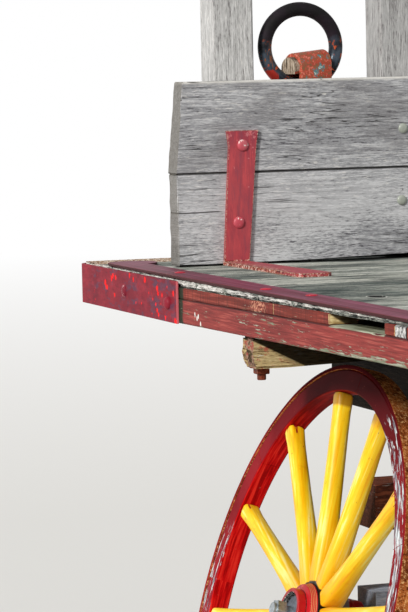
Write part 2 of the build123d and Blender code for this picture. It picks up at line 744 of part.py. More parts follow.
rear_arms = (arms["rear_right"], arms["rear_left"])
front_arms = (arms["front_right"], arms["front_left"])
kingpin_hole = upright(FRONT_AXLE_STATION, KINGPIN_RADIUS + RUNNING_CLEARANCE, 0, DECK_TOP)
kingpin_seat = upright(FRONT_AXLE_STATION, KINGPIN_RADIUS, 0, FRONT_BOLSTER_BOTTOM + KINGPIN_ENTRY)

save("rear_axle_tree", axle_tree(REAR_AXLE_STATION, REAR_TREE_BOTTOM, REAR_TREE_TOP, rear_arms))
save("rear_axle_arms", *rear_arms)
save("reach_pole", reach_pole() - kingpin_hole)
save("rear_hounds", *hounds(REAR_HOUND_OUTLINE, REAR_AXLE_STATION, REACH_BOTTOM, REACH_TOP))
save("rear_bolster", rear_bolster())
front_bolster = cross_timber(
    FRONT_AXLE_STATION, FRONT_BOLSTER_WIDTH, BOLSTER_END_Y, FRONT_BOLSTER_BOTTOM, BEAM_BOTTOM
)
save("front_bolster", front_bolster - kingpin_seat)
save("turntable_upper", turntable_plate(UPPER_PLATE_BOTTOM))
save("kingpin", kingpin())

sand_board = cross_timber(FRONT_AXLE_STATION, SAND_BOARD_WIDTH, SAND_BOARD_END_Y, SAND_BOTTOM, SAND_TOP)
front_tree = axle_tree(FRONT_AXLE_STATION, FRONT_TREE_BOTTOM, FRONT_TREE_TOP, front_arms)
front_hounds = hounds(FRONT_HOUND_OUTLINE, FRONT_AXLE_STATION, FRONT_TREE_TOP, SAND_BOTTOM)
save("turntable_lower", turntable_plate(SAND_TOP))
save("front_sand_board", sand_board - kingpin_hole)
save("front_axle_tree", front_tree - kingpin_hole)
save("front_axle_arms", *front_arms)
save("front_hounds", *[hound - hinge_bar(HINGE_PIN_RADIUS, DECK_WIDTH) for hound in front_hounds])
save("tongue_pin", hinge_bar(HINGE_PIN_RADIUS, HINGE_PIN_LENGTH))
save("tongue_pole", tongue_pole())
save("tongue_eye", tongue_eye())

boards = []
stakes = []
rails = []
brackets = []
for end_station, inward in ((0.0, 1), (DECK_LENGTH, -1)):
    face_station = end_station + inward * RACK_INSET
    back_station = face_station - inward * RACK_THICKNESS
    stake_back = back_station - inward * STAKE_DEPTH
    board_end = HALF_WIDTH - RACK_END_INSET
    boards.append(rack_lower_board(face_station, back_station))
    boards.append(rack_upper_board(face_station, back_station))
    for low, high in RAIL_LEVELS:
        rail_face = back_station + inward * RAIL_THICKNESS
        rails.append(block(back_station, rail_face, -board_end, board_end, DECK_TOP + low, DECK_TOP + high))
    for index in range(STAKES_PER_RACK):
        y = -HALF_WIDTH + STAKE_FIRST + index * STAKE_PITCH
        stakes.append(block(stake_back, back_station, y, y + STAKE_WIDTH, DECK_TOP, DECK_TOP + STAKE_TOP))
    for side in SIDES:
        brackets.append(rack_bracket(face_station, inward, side * (HALF_WIDTH - BRACKET_Y)))
save("rack_planks", *boards)
save("rack_stakes", *stakes)
save("rack_rails", *rails)
save("rack_brackets", *brackets)
save("tie_ring", tie_ring())
save("ring_eye", ring_eye())
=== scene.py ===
import json
import math

import bmesh
import bpy
from mathutils import Matrix, Vector, noise


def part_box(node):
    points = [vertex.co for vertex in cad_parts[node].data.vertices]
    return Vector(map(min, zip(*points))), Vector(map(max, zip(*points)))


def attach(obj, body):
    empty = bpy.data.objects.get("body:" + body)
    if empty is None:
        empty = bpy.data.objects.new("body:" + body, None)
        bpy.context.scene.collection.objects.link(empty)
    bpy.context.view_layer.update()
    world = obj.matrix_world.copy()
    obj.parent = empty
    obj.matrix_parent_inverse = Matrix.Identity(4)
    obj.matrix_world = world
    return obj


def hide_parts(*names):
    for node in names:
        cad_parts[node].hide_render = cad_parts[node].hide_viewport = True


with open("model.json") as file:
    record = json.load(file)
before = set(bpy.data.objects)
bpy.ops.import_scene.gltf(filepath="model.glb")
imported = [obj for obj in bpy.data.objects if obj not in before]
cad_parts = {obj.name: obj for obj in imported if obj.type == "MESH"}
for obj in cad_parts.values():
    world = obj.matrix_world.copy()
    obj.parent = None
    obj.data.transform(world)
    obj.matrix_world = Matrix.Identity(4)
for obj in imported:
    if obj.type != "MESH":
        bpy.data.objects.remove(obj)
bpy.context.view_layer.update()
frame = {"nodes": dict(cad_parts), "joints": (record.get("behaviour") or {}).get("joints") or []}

MM = 0.001
SIDES = (-1, 1)

# Places that the frame gives.
SILL_LOW, SILL_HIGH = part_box("side_sills")
REAR_X = SILL_LOW.x
FRONT_X = SILL_HIGH.x
MIDDLE_X = (REAR_X + FRONT_X) / 2
HALF_LENGTH = (FRONT_X - REAR_X) / 2
HALF_WIDTH = SILL_HIGH.y
DECK_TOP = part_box("deck_planks")[1].z
AXLE_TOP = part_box("rear_axle_tree")[1].z
BEARER_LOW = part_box("cross_bearers")[0].z
RACK_END_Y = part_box("rack_planks")[1].y
RING_X = (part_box("tie_ring")[0].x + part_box("tie_ring")[1].x) / 2
CORNER_RADIUS = 12 * MM

# The side sills and the fillers bow up toward the middle of the wagon, into planks that are worn thin there.
BOW_START = 400 * MM
BOW_LENGTH = 1500 * MM
SILL_BOW = 15 * MM
FILLER_BOW = 12 * MM
BEARER_SAG = 6 * MM

# Racks and irons: distances from the deck's ends and edges, and thicknesses.
RACK_FACE = 343 * MM
BRACKET_FOOT = 475 * MM
BRACKET_THICKNESS = 8 * MM
STRAP_THICKNESS = 6 * MM
STRAP_END = 716 * MM
STRIP_THICKNESS = 6 * MM
RAIL_SET_BACK = 26 * MM
BRACKET_HEIGHT = 280 * MM
WHEEL_PLANE_INSET = 81 * MM
NUT_OFFSET = 18 * MM

# The ring's fold, in mm.
SADDLE_INSET = 472
SADDLE_HALF_WIDTH = 43

# Wheels, in metres, as the frame has them.
REAR_WHEEL_RADIUS = 508 * MM
FRONT_WHEEL_RADIUS = 457 * MM
TYRE_WIDTH = 48 * MM
TYRE_THICKNESS = 9 * MM
FELLOE_WIDTH = 44 * MM
FELLOE_DEPTH = 43 * MM
FELLOES_PER_WHEEL = 6
FELLOE_JOINT_PHASE = 15.0
SAW_JOINT = 1.2 * MM
SEAT_GAP = 0.3 * MM
SHOULDER_GAP = 1.5 * MM
SPOKES_PER_WHEEL = 12
DISH = 33 * MM
HUB_RADIUS = 68 * MM

# Wheel: the body and node prefix, the side of the wagon, rim radius, angle of the first spoke.
WHEELS = (
    ("wheel_rear_right", -1, REAR_WHEEL_RADIUS, 9.5),
    ("wheel_rear_left", 1, REAR_WHEEL_RADIUS, 22.0),
    ("wheel_front_right", -1, FRONT_WHEEL_RADIUS, 3.0),
    ("wheel_front_left", 1, FRONT_WHEEL_RADIUS, 17.0),
)


def srgb(red, green, blue):
    """A colour as the eye reads it, 0 to 255, as the linear colour that a shader takes."""
    channels = []
    for value in (red, green, blue):
        share = value / 255
        channels.append(share / 12.92 if share <= 0.04045 else ((share + 0.055) / 1.055) ** 2.4)
    return (*channels, 1.0)


def clamp(share):
    return min(1.0, max(0.0, share))


def station(millimetres):
    """Distance ahead of the deck's rear end, as an x in the frame."""
    return REAR_X + millimetres * MM


def inset(millimetres, side=-1):
    """Distance in from one long edge of the deck, as a y in the frame."""
    return side * (HALF_WIDTH - millimetres * MM)


def above(millimetres):
    """Height over the deck's top, as a z in the frame."""
    return DECK_TOP + millimetres * MM


class Signal:
    """A socket that takes part in sums, each of which adds a node to its finish."""

    def __init__(self, finish, socket):
        self.finish = finish
        self.socket = socket

    def __add__(self, other):
        return self.finish.math("ADD", self, other)

    def __sub__(self, other):
        return self.finish.math("SUBTRACT", self, other)

    def __rsub__(self, other):
        return self.finish.math("SUBTRACT", other, self)

    def __mul__(self, other):
        return self.finish.math("MULTIPLY", self, other)

    def __abs__(self):
        return self.finish.math("ABSOLUTE", self)


class Finish:
    """A material whose node tree is built by short calls that hand back signals."""

    def __init__(self, name, attribute=None):
        self.material = bpy.data.materials.new(name)
        self.material.use_nodes = True
        self.tree = self.material.node_tree
        self.tree.nodes.clear()
        self.output = self.tree.nodes.new("ShaderNodeOutputMaterial")
        self.shader = self.tree.nodes.new("ShaderNodeBsdfPrincipled")
        self.tree.links.new(self.shader.outputs[0], self.output.inputs[0])
        self.colour = None
        self.coords = self.stored(attribute) if attribute else self.value("Object", "ShaderNodeTexCoord")

    def feed(self, target, value):
        """Links a socket in, or sets a number, a vector or a colour as the eye reads it."""
        if isinstance(value, Signal):
            value = value.socket
        if isinstance(value, bpy.types.NodeSocket):
            self.tree.links.new(value, target)
        elif target.type == "RGBA":
            target.default_value = srgb(*value)
        else:
            target.default_value = value

    def node(self, kind, inputs=None, **settings):
        made = self.tree.nodes.new(kind)
        for key, value in settings.items():
            setattr(made, key, value)
        for key, value in (inputs or {}).items():
            self.feed(made.inputs[key], value)
        return made

    def value(self, output, kind, inputs=None, **settings):
        """One output of a new node."""
        return Signal(self, self.node(kind, inputs, **settings).outputs[output])

    def math(self, operation, first, second=0.0):
        return self.value(0, "ShaderNodeMath", {0: first, 1: second}, operation=operation)

    def vector(self, operation, first, second=(0, 0, 0)):
        """A vector, or the number that a length, a distance or a dot product gives."""
        output = "Value" if operation in ("LENGTH", "DISTANCE", "DOT_PRODUCT") else 0
        return self.value(output, "ShaderNodeVectorMath", {0: first, 1: second}, operation=operation)

    def most(self, *values):
        highest = values[0]
        for value in values[1:]:
            highest = self.math("MAXIMUM", highest, value)
        return highest

    def stored(self, name):
        """A vector that the mesh keeps at each point."""
        return self.value("Vector", "ShaderNodeAttribute", attribute_name=name)

    def part(self, vector, axis):
        return self.value(axis, "ShaderNodeSeparateXYZ", {0: vector})

    def stretch(self, x, y, z, shift=(0, 0, 0), vector=None):
        """Coordinates scaled on each axis, so that grain runs along the smallest scale."""
        inputs = {"Vector": vector or self.coords, "Scale": (x, y, z), "Location": shift}
        return self.value(0, "ShaderNodeMapping", inputs)

    def grain(self, axis, along, across, shift=(0, 0, 0), vector=None):
        scales = [across, across, across]
        scales[axis] = along
        return self.stretch(*scales, shift, vector)

    def noise(self, vector, scale=1.0, detail=4.0, roughness=0.55):
        inputs = {"Vector": vector, "Scale": scale, "Detail": detail, "Roughness": roughness}
        return self.value("Fac", "ShaderNodeTexNoise", inputs)

    def ramp(self, fac, *stops):
        """Colours at positions along fac."""
        made = self.node("ShaderNodeValToRGB", {"Fac": fac})
        elements = made.color_ramp.elements
        while len(elements) < len(stops):
            elements.new(0.5)
        for element, (position, colour) in zip(elements, stops):
            element.position = position
            element.color = srgb(*colour)
        return Signal(self, made.outputs["Color"])

    def step(self, fac, low, high, at_low=0.0, at_high=1.0):
        inputs = {"Value": fac, "From Min": low, "From Max": high, "To Min": at_low, "To Max": at_high}
        return self.value(0, "ShaderNodeMapRange", inputs, clamp=True)

    def fall(self, fac, low, high):
        """1 up to low, 0 from high on."""
        return self.step(fac, low, high, 1.0, 0.0)

    def mix(self, fac, first, second):
        return self.value(2, "ShaderNodeMix", {0: fac, 6: first, 7: second}, data_type="RGBA")

    def coat(self, mask, colour):
        """Lays a colour over the one that is there, as far as the mask says."""
        self.colour = self.mix(mask, self.colour, colour)

    def edges(self, radius):
        """1 on arrises sharper than the radius, 0 on flat faces."""
        soft = self.value(0, "ShaderNodeBevel", {"Radius": radius}, samples=6)
        true = self.value("Normal", "ShaderNodeNewGeometry")
        return self.step(self.vector("DOT_PRODUCT", soft, true), 0.99, 0.80)

    def island(self):
        """A number that differs from one separate solid to the next."""
        return self.value("Random Per Island", "ShaderNodeNewGeometry")

    def facing(self, axis):
        """How far the surface faces along one axis, from -1 to 1, in the object's own directions."""
        return self.part(self.value("Normal", "ShaderNodeTexCoord"), axis)

    def place(self, axis):
        return self.part(self.coords, axis)

    def from_middle(self):
        """Distance ahead of or behind the deck's middle."""
        return abs(self.place(0) - MIDDLE_X)

    def deep(self):
        """Distance in from the nearer long edge of the deck."""
        return HALF_WIDTH - abs(self.place(1))

    def near(self, x, y, z, radius, scale=(1.0, 1.0, 1.0)):
        """1 at a point in the frame, falling to 0 at a distance from it, measured on a stretched scale."""
        apart = self.vector("SUBTRACT", self.coords, (x, y, z))
        return self.fall(self.vector("LENGTH", self.vector("MULTIPLY", apart, scale)), 0.0, radius)

    def finish(self, roughness, height=None, strength=0.5, distance=1.0, metallic=0.0, gloss=0.18):
        looks = {
            "Base Color": self.colour,
            "Roughness": roughness,
            "Metallic": metallic,
            "Specular IOR Level": gloss,
        }
        for key, value in looks.items():
            self.feed(self.shader.inputs[key], value)
        if height is not None:
            bump = self.node(
                "ShaderNodeBump", {"Strength": strength, "Distance": distance * MM, "Height": height}
            )
            self.tree.links.new(bump.outputs[0], self.shader.inputs["Normal"])
        return self.material


# Finishes. Grain axis: 0 along the wagon, 1 across it, 2 upright.
def weathered_wood(name, axis, light, middle, dark, end=None, crack=0.5, fine=1.0, extra=None, flecks=0.7):
    """Bare boards gone grey: fine fibres, pale flecks, thin dark checks and a tone for each board."""
    s = Finish(name)
    cloud = s.noise(s.grain(axis, 1.2, 5.0), detail=3)
    warp = s.noise(s.grain(axis, 2.0, 6.0, (3, 7, 5)), detail=2) * 0.05
    bent = s.vector("ADD", s.coords, warp)
    fibre = s.noise(s.grain(axis, 17.0, 430.0 * fine, vector=bent), detail=5, roughness=0.65)
    band = s.noise(s.grain(axis, 5.5, 135.0 * fine, vector=bent))
    speck = s.noise(s.grain(axis, 70.0, 420.0, (2, 8, 4)), detail=3, roughness=0.7)
    tone = fibre * 0.62 + band * 0.38
    tone += (speck - 0.5) * 0.55
    tone += (cloud - 0.5) * 0.3
    tone += (s.island() - 0.5) * 0.07
    s.colour = s.ramp(tone, (0.38, dark), (0.46, middle), (0.53, middle), (0.62, light))
    fleck = s.noise(s.grain(axis, 40.0, 260.0 * fine, (6, 4, 1)), detail=3)
    fleck = s.step(fleck, 0.62, 0.67) * s.step(cloud, 0.42, 0.55)
    s.coat(fleck * flecks, (224, 222, 218))
    line = s.noise(s.grain(axis, 1.5, 44.0, (1, 5, 9), vector=bent), detail=3)
    line = s.fall(abs(line - 0.5), 0.002, 0.009)
    line *= s.step(s.noise(s.grain(axis, 3.0, 12.0, (1, 5, 9))), 0.6 - 0.2 * crack, 0.66 - 0.2 * crack)
    if extra is not None:
        line = extra(s, line)
    s.coat(line * 0.85, (34, 30, 28))
    end_grain = s.step(abs(s.facing(axis)), 0.5, 0.8)
    end_colour = dark if end is None else end(s) if callable(end) else end
    s.coat(end_grain * (0.85 if callable(end) else 0.7), end_colour)
    height = fibre + band - line
    return s.finish(s.step(tone, 0.3, 0.7, 0.95, 0.8), height, 0.7, 1.6, gloss=0.1)


def bow_lift(s, most):
    """How far the side sill or filler has bowed up at this station, as much as most in the middle."""
    start = HALF_LENGTH - BOW_START
    return s.step(s.from_middle(), start, start - BOW_LENGTH, 0.0, most)


def rack_marks(s, line):
    """Lower board's long check, painted highlight on the top arris, a dark seam, painted shade at the foot.
    """
    y = s.place(1)
    z = s.place(2)
    wobble = s.noise(s.stretch(1, 9, 1), detail=2) * (5 * MM)
    level = z + wobble - above(122)
    check = s.fall(abs(level), 0.6 * MM, 1.8 * MM)
    check *= s.fall(y, inset(216), inset(228))
    upper = s.step(z, above(209), above(212))
    dull = s.step(s.noise(s.stretch(1, 5.0, 16.0, (0, 3, 2)), detail=3), 0.45, 0.62)
    s.coat(dull * upper * 0.45, (112, 110, 112))
    # Painted highlight: a pale line along the upper board's top arris.
    sun_line = s.step(z, above(404), above(409))
    s.coat(sun_line * 0.7, (226, 224, 218))
    pale = s.noise(s.stretch(1, 3.0, 9.0, (5, 1, 7)), detail=3)
    grain = s.noise(s.stretch(1, 60, 380, (4, 2, 1)), detail=3, roughness=0.7)
    pale = s.step(pale + (grain - 0.5) * 1.1, 0.4, 0.56)
    pale *= s.step(z, above(205), above(60), 0.25, 1.0)
    pale *= s.fall(z, above(207), above(209))
    s.coat(pale * 0.65, (220, 221, 224))
    seam = s.fall(abs(z - above(206.3)), 1.8 * MM, 3.2 * MM)
    # Painted shade: faces that look down, low on the boards under the hollowed foot, are near-black.
    painted_shade = s.step(s.facing(2), -0.2, -0.6) * s.step(z, above(60), above(40))
    s.coat(painted_shade, (12, 11, 11))
    return s.most(line, check, seam)


def stake_marks(s, line):
    """The middle stakes have weathered darker than the ones at the ends."""
    inner = s.fall(s.deep(), 480 * MM, 380 * MM)
    s.coat(inner * 0.22, (104, 102, 104))
    return line


def deck_marks(s, line):
    """Weathering in dark sweeps, knot hole, gritty rust beyond the corner straps, painted shade at rack feet.
    """
    sweep = s.noise(s.grain(1, 1.7, 10.0, (2, 2, 2)), detail=6, roughness=0.66)
    inner = s.step(s.deep(), 60 * MM, 300 * MM, 0.02, 0.0)
    sweep += inner
    strong = s.step(s.place(0), station(1500), station(2300), 1.0, 0.4)
    outer = s.step(s.deep(), 330 * MM, 60 * MM, 0.0, 0.035)
    late = s.step(s.place(0), station(900), station(1500))
    sweep += outer * late
    streaky = s.step(s.noise(s.grain(1, 6.0, 110.0, (9, 1, 4))), 0.42, 0.54, 0.3, 1.0)
    dark = s.step(sweep, 0.51, 0.58) * (strong * (streaky * 0.9))
    s.coat(dark, (46, 58, 58))
    pale = s.step(sweep, 0.45, 0.38) * (strong * 0.75)
    s.coat(pale, (236, 236, 230))
    # Painted shade on the deck at the foot of each rack board: a dark band in front of it, up to 48 mm wide.
    before = HALF_LENGTH - RACK_FACE - s.from_middle()
    deep = s.deep()
    spread = s.step(deep, 335 * MM, 530 * MM, 0.0, 48 * MM)
    spread -= s.step(deep, 540 * MM, 660 * MM, 0.0, 26 * MM)
    fray = (s.noise(s.stretch(10, 5, 1)) - 0.5) * (30 * MM)
    painted_shade = s.step(spread - before + fray, 0.0, 8 * MM)
    painted_shade *= s.step(deep, 330 * MM, 370 * MM)
    painted_shade *= s.step(before, -30 * MM, -10 * MM)
    s.coat(painted_shade * 0.9, (22, 22, 20))
    # The knot hole: a pale rim, and its inside painted black as shade.
    knot = s.near(station(1394), inset(177), DECK_TOP, 1.0, (1 / (34 * MM), 1 / (19 * MM), 0.0))
    s.coat(s.step(knot, 0.0, 0.10), (226, 226, 218))
    s.coat(s.step(knot, 0.10, 0.18), (8, 8, 10))
    grit = s.noise(s.coords, scale=170.0, roughness=0.8)
    rust = s.ramp(
        grit, (0.42, (24, 16, 12)), (0.47, (126, 66, 34)), (0.52, (206, 160, 104)),
        (0.56, (252, 246, 234)),
    )
    edge = s.from_middle() + s.noise(s.coords, scale=14.0) * (60 * MM)
    edge = s.step(edge, HALF_LENGTH - 110 * MM, HALF_LENGTH - 90 * MM)
    side = s.step(s.deep(), 260 * MM, 215 * MM)
    s.coat(edge * side, rust)
    return line


def splintered(s):
    """Split plank ends: near-white splinters with black between them, darkened toward the bottom as painted
    shade.
    """
    layers = s.noise(s.stretch(26, 1, 300), detail=5, roughness=0.75)
    level = s.place(2) + s.noise(s.stretch(12, 1, 1)) * (9 * MM)
    level -= bow_lift(s, FILLER_BOW)
    # Painted shade: the ends darken toward their bottom, where they meet the shadowed gap above the filler.
    lower = s.step(level, above(-10), above(-15), 0.0, 0.3)
    layers -= lower
    return s.ramp(
        layers, (0.38, (14, 14, 16)), (0.42, (120, 116, 112)), (0.47, (204, 202, 198)),
        (0.56, (240, 238, 234)),
    )


def crumbled(s):
    """End grain gone to lumps of grey, pink and black."""
    lumps = s.noise(s.coords, scale=62.0, roughness=0.7)
    return s.ramp(
        lumps, (0.41, (22, 16, 16)), (0.47, (104, 74, 66)), (0.53, (156, 132, 116)), (0.6, (158, 70, 68))
    )


def stained_bearer(s, line):
    """Red paint rubbed off near the ends, over rough grey end grain, and the sill's shadow painted on the
    side.
    """
    out = s.step(s.deep(), 190 * MM, 20 * MM)
    dabs = s.noise(s.stretch(30, 30, 44, (2, 6, 3)), detail=5, roughness=0.7)
    dabs = s.step(dabs + out * 0.06, 0.6, 0.66)
    dabs *= s.step(out, 0.5, 0.9)
    s.coat(dabs * 0.8, (168, 64, 60))
    # Painted shadow: the side goes near-black inboard of a line that falls from the sill's lower edge.
    drop = SILL_LOW.z - s.place(2)
    reach = HALF_WIDTH - 6 * MM - abs(s.place(1))
    painted_sill_shadow = reach - drop * 2.0
    painted_sill_shadow = s.step(painted_sill_shadow, -2 * MM, 3 * MM)
    s.coat(painted_sill_shadow * 0.95, (22, 16, 10))
    return line


def shaded_below_top(s, line):
    """Painted shade: below a ragged line a little under its top, the axle tree is near-black; above it stays
    blue-grey.
    """
    ragged = s.noise(s.stretch(4, 5, 30)) * (16 * MM)
    painted_shade_low = s.fall(s.place(2) + ragged, AXLE_TOP - 34 * MM, AXLE_TOP - 28 * MM)
    s.coat(painted_shade_low * 0.9, (14, 13, 16))
    return line


def painted_timber(name, paint, worn, under, flake=0.5, extra=None):
    """Paint on a timber that runs along the wagon, lost in short thin flakes and at the arrises."""
    s = Finish(name)
    cloud = s.noise(s.grain(0, 1.6, 9.0))
    fibre = s.noise(s.grain(0, 9.0, 260.0), detail=5, roughness=0.65)
    dash = s.noise(s.grain(0, 24.0, 300.0, (4, 1, 8)), detail=5, roughness=0.65)
    s.colour = s.mix(s.step(cloud, 0.36, 0.64), paint, worn)
    s.coat(s.step(fibre, 0.5, 0.62) * 0.55, (74, 26, 26))
    s.coat(s.step(fibre, 0.46, 0.38) * 0.4, (196, 104, 92))
    flakes = dash + (cloud - 0.5) * 0.45
    flakes += s.edges(5 * MM) * 0.05
    if extra is not None:
        flakes = extra(s, flakes)
    bare = s.step(flakes, 0.68 - 0.12 * flake, 0.71 - 0.12 * flake)
    s.coat(bare, s.mix(s.step(fibre, 0.46, 0.62), under, (186, 186, 170)))
    height = fibre * 0.5 - bare * 0.6
    return s.finish(s.step(bare, 0, 1, 0.62, 0.9), height, 0.5, 1.2)


def beside_strap(s):
    """Painted shadow of a strap's end: a dark green-brown band on the timber it lies on, just beyond the end.
    """
    beyond = HALF_LENGTH - STRAP_END - s.from_middle()
    wobble = s.noise(s.stretch(1, 1, 60), detail=2) * (12 * MM)
    dirt_and_shadow = s.fall(beyond + wobble, 22 * MM, 30 * MM)
    dirt_and_shadow *= s.step(beyond, -20 * MM, -10 * MM)
    s.coat(dirt_and_shadow, (34, 44, 30))


def sill_marks(s, flakes):
    """More bare wood along the lower edge toward the middle of the wagon, and one pale scratch."""
    z = s.place(2) - bow_lift(s, SILL_BOW)
    low = s.step(z, SILL_LOW.z + 16 * MM, SILL_LOW.z + 2 * MM)
    along = s.fall(s.from_middle(), 400 * MM, 900 * MM)
    flakes += low * (along + 0.35) * 0.16
    flakes += along * 0.035
    scratches = []
    for along_mm, height in ((816, -66), (830, -74), (838, -69), (852, -84)):
        scale = (1 / (5.5 * MM), 10.0, 1 / (8.5 * MM))
        scratches.append(s.near(station(along_mm), -HALF_WIDTH, above(height), 1.0, scale))
    ragged = (s.noise(s.coords, scale=130.0) - 0.5) * 1.2
    s.coat(s.step(s.most(*scratches) + ragged, 0.3, 0.42), (228, 226, 220))
    joint = s.step(z, SILL_HIGH.z - 3.5 * MM, SILL_HIGH.z - 2.0 * MM)
    s.coat(joint * 0.8, (40, 12, 12))
    slots = []
    for start, end in ((1597, 1872), (2560, 2800)):
        along = s.place(0) - station((start + end) / 2)
        half = (end - start) / 2 * MM
        slots.append(s.fall(abs(along), half, half + 1 * MM))
    top = s.step(s.facing(2), 0.4, 0.7) * s.most(*slots)
    flakes -= joint
    dust = s.noise(s.grain(0, 8.0, 60.0, (4, 4, 1)))
    bare = s.mix(s.step(dust, 0.40, 0.60), (128, 130, 108), (186, 192, 170))
    beside_strap(s)
    s.coat(top, bare)
    return flakes - top


def filler_marks(s, flakes):
    """Upright saw marks, and a patch scratched down to yellow wood."""
    saw = s.noise(s.stretch(120, 1, 8), detail=3)
    s.coat(s.step(saw, 0.45, 0.65) * 0.55, (70, 26, 20))
    patch = s.near(station(1205), -HALF_WIDTH, above(-24), 1.0, (1 / (62 * MM), 10.0, 1 / (22 * MM)))
    scratch = s.step(s.noise(s.stretch(190, 1, 140, (7, 0, 1)), detail=3), 0.52, 0.58)
    s.coat(s.step(patch, 0.1, 0.5) * scratch, (214, 152, 124))
    sawn = s.step(abs(s.facing(0)), 0.6, 0.9)
    lines = s.noise(s.stretch(1, 40, 160))
    bare = s.mix(s.step(lines, 0.42, 0.60), (168, 140, 92), (226, 206, 154))
    # Painted shadow on the sawn end faces: dark brown inboard of a line that falls from the top outer corner.
    deep = s.deep()
    drop = above(-10) - s.place(2)
    painted_shade = s.step(deep - drop * 1.55, -2 * MM, 3 * MM)
    bare = s.mix(painted_shade * 0.92, bare, (34, 22, 12))
    block = s.fall(abs(s.place(0) - station(1947)), 25 * MM, 27 * MM)
    specks = s.noise(s.coords, scale=120.0, detail=3, roughness=0.7)
    grey = s.ramp(specks, (0.40, (52, 50, 50)), (0.48, (150, 152, 152)), (0.58, (214, 214, 212)))
    s.coat(block, grey)
    joint = s.fall(abs(s.place(0) - station(1975)), 2 * MM, 3.5 * MM)
    s.coat(joint, (12, 8, 8))
    flakes -= s.most(block, joint)
    beside_strap(s)
    s.coat(sawn, bare)
    return flakes - sawn


def painted_iron(
    name, paint, shade, bright, rust, chips=0.5, edge=0.6, roughness=0.45, extra=None, gloss=0.18
):
    """Thick paint over iron: clouded, with bright chips to an older coat and rust at the edges."""
    s = Finish(name)
    cloud = s.noise(s.coords, scale=9.0, detail=5)
    spots = s.noise(s.coords, scale=85.0, roughness=0.7)
    s.colour = s.mix(s.step(cloud, 0.36, 0.66), paint, shade)
    old = spots + (cloud - 0.5) * 0.5
    old = s.step(old, 0.69 - 0.08 * chips, 0.71 - 0.08 * chips)
    s.coat(old, bright)
    if extra is not None:
        extra(s)
    wear = s.edges(4 * MM) * edge
    wear += (spots - 0.5) * 1.6
    wear = s.step(wear, 0.42, 0.60)
    grit = s.noise(s.coords, scale=320.0, detail=3)
    s.coat(wear, s.mix(s.step(grit, 0.45, 0.6), rust, (214, 196, 170)))
    height = spots * 0.5 + wear * -0.6
    return s.finish(s.step(wear, 0, 1, roughness, 0.85), height, 0.35, 1.0, gloss=gloss)


# Chips in the straps: station, height on the deck's level, radius, all in mm.
STRAP_CHIPS = (
    (196, -38, 11), (206, -45, 12), (243, -25, 10), (256, -17, 10), (276, -20, 9), (266, -61, 7),
    (383, -11, 9), (409, -16, 9), (494, -15, 11), (581, -26, 10), (585, -37, 7), (614, -39, 8),
    (691, -29, 10), (569, -62, 6), (577, -75, 8), (587, -83, 10), (634, -86, 9), (702, -88, 11),
    (424, -68, 5), (466, -66, 4), (548, -52, 4), (650, -20, 5), (540, -84, 5), (520, -40, 4),
    (604, -58, 4),
)


def strap_marks(s):
    """Chips to an older scarlet coat, blue-grey stains toward the strap's end, and a painted pink highlight
    on its end.
    """
    back = HALF_LENGTH - s.from_middle()
    drop = s.place(2) - DECK_TOP
    where = s.value(0, "ShaderNodeCombineXYZ", {0: back, 2: drop})
    chips = []
    for along, height, radius in STRAP_CHIPS:
        away = s.vector("DISTANCE", where, (along * MM, 0.0, height * MM))
        chips.append(s.fall(away, 0.0, radius * MM))
    marks = s.most(*chips)
    ragged = (s.noise(s.stretch(120, 60, 90), roughness=0.7) - 0.5) * 2.2
    stain = s.noise(s.stretch(16, 16, 40, (3, 1, 2)), detail=5, roughness=0.7)
    far = s.step(back, 100 * MM, 650 * MM, -0.05, 0.06)
    stain = s.step(stain + far, 0.55, 0.6)
    s.coat(stain * 0.7, (78, 58, 80))
    scuffs = s.step(s.noise(s.stretch(45, 60, 120, (5, 5, 5)), roughness=0.75), 0.56, 0.60)
    s.coat(scuffs * 0.5, (88, 18, 34))
    streak = s.step(s.noise(s.stretch(24, 24, 60, (8, 3, 2)), detail=5, roughness=0.7), 0.50, 0.66)
    s.coat(streak * 0.35, (170, 52, 66))
    chipped = (marks + ragged) * s.step(marks, 0.02, 0.1)
    s.coat(s.step(chipped, 0.34, 0.44), (240, 8, 12))
    # Painted highlight: the end face of the strap's inner end is pale pink.
    tip = s.step(abs(s.facing(0)), 0.6, 0.9)
    inner = s.step(back, 300 * MM, 400 * MM)
    s.coat(tip * inner, (206, 104, 112))


def strip_marks(s):
    """Painted violet sheen in streaks along the strip, dark lines along it, a redder outer rim and near-black
    sides.
    """
    y = abs(s.place(1))
    # Painted sheen: pale violet streaks along the strip.
    lines = s.noise(s.stretch(2.2, 120, 1))
    s.coat(s.step(lines, 0.46, 0.62) * 0.5, (158, 98, 122))
    dark = s.step(s.noise(s.stretch(1.6, 90, 1, (5, 2, 0)), detail=3), 0.56, 0.62)
    s.coat(dark * 0.7, (84, 36, 48))
    rim = s.step(y, HALF_WIDTH - 8 * MM, HALF_WIDTH - 4 * MM)
    s.coat(rim * 0.8, (112, 28, 40))
    side = s.step(abs(s.facing(1)), 0.5, 0.8)
    s.coat(side * 0.9, (52, 18, 18))


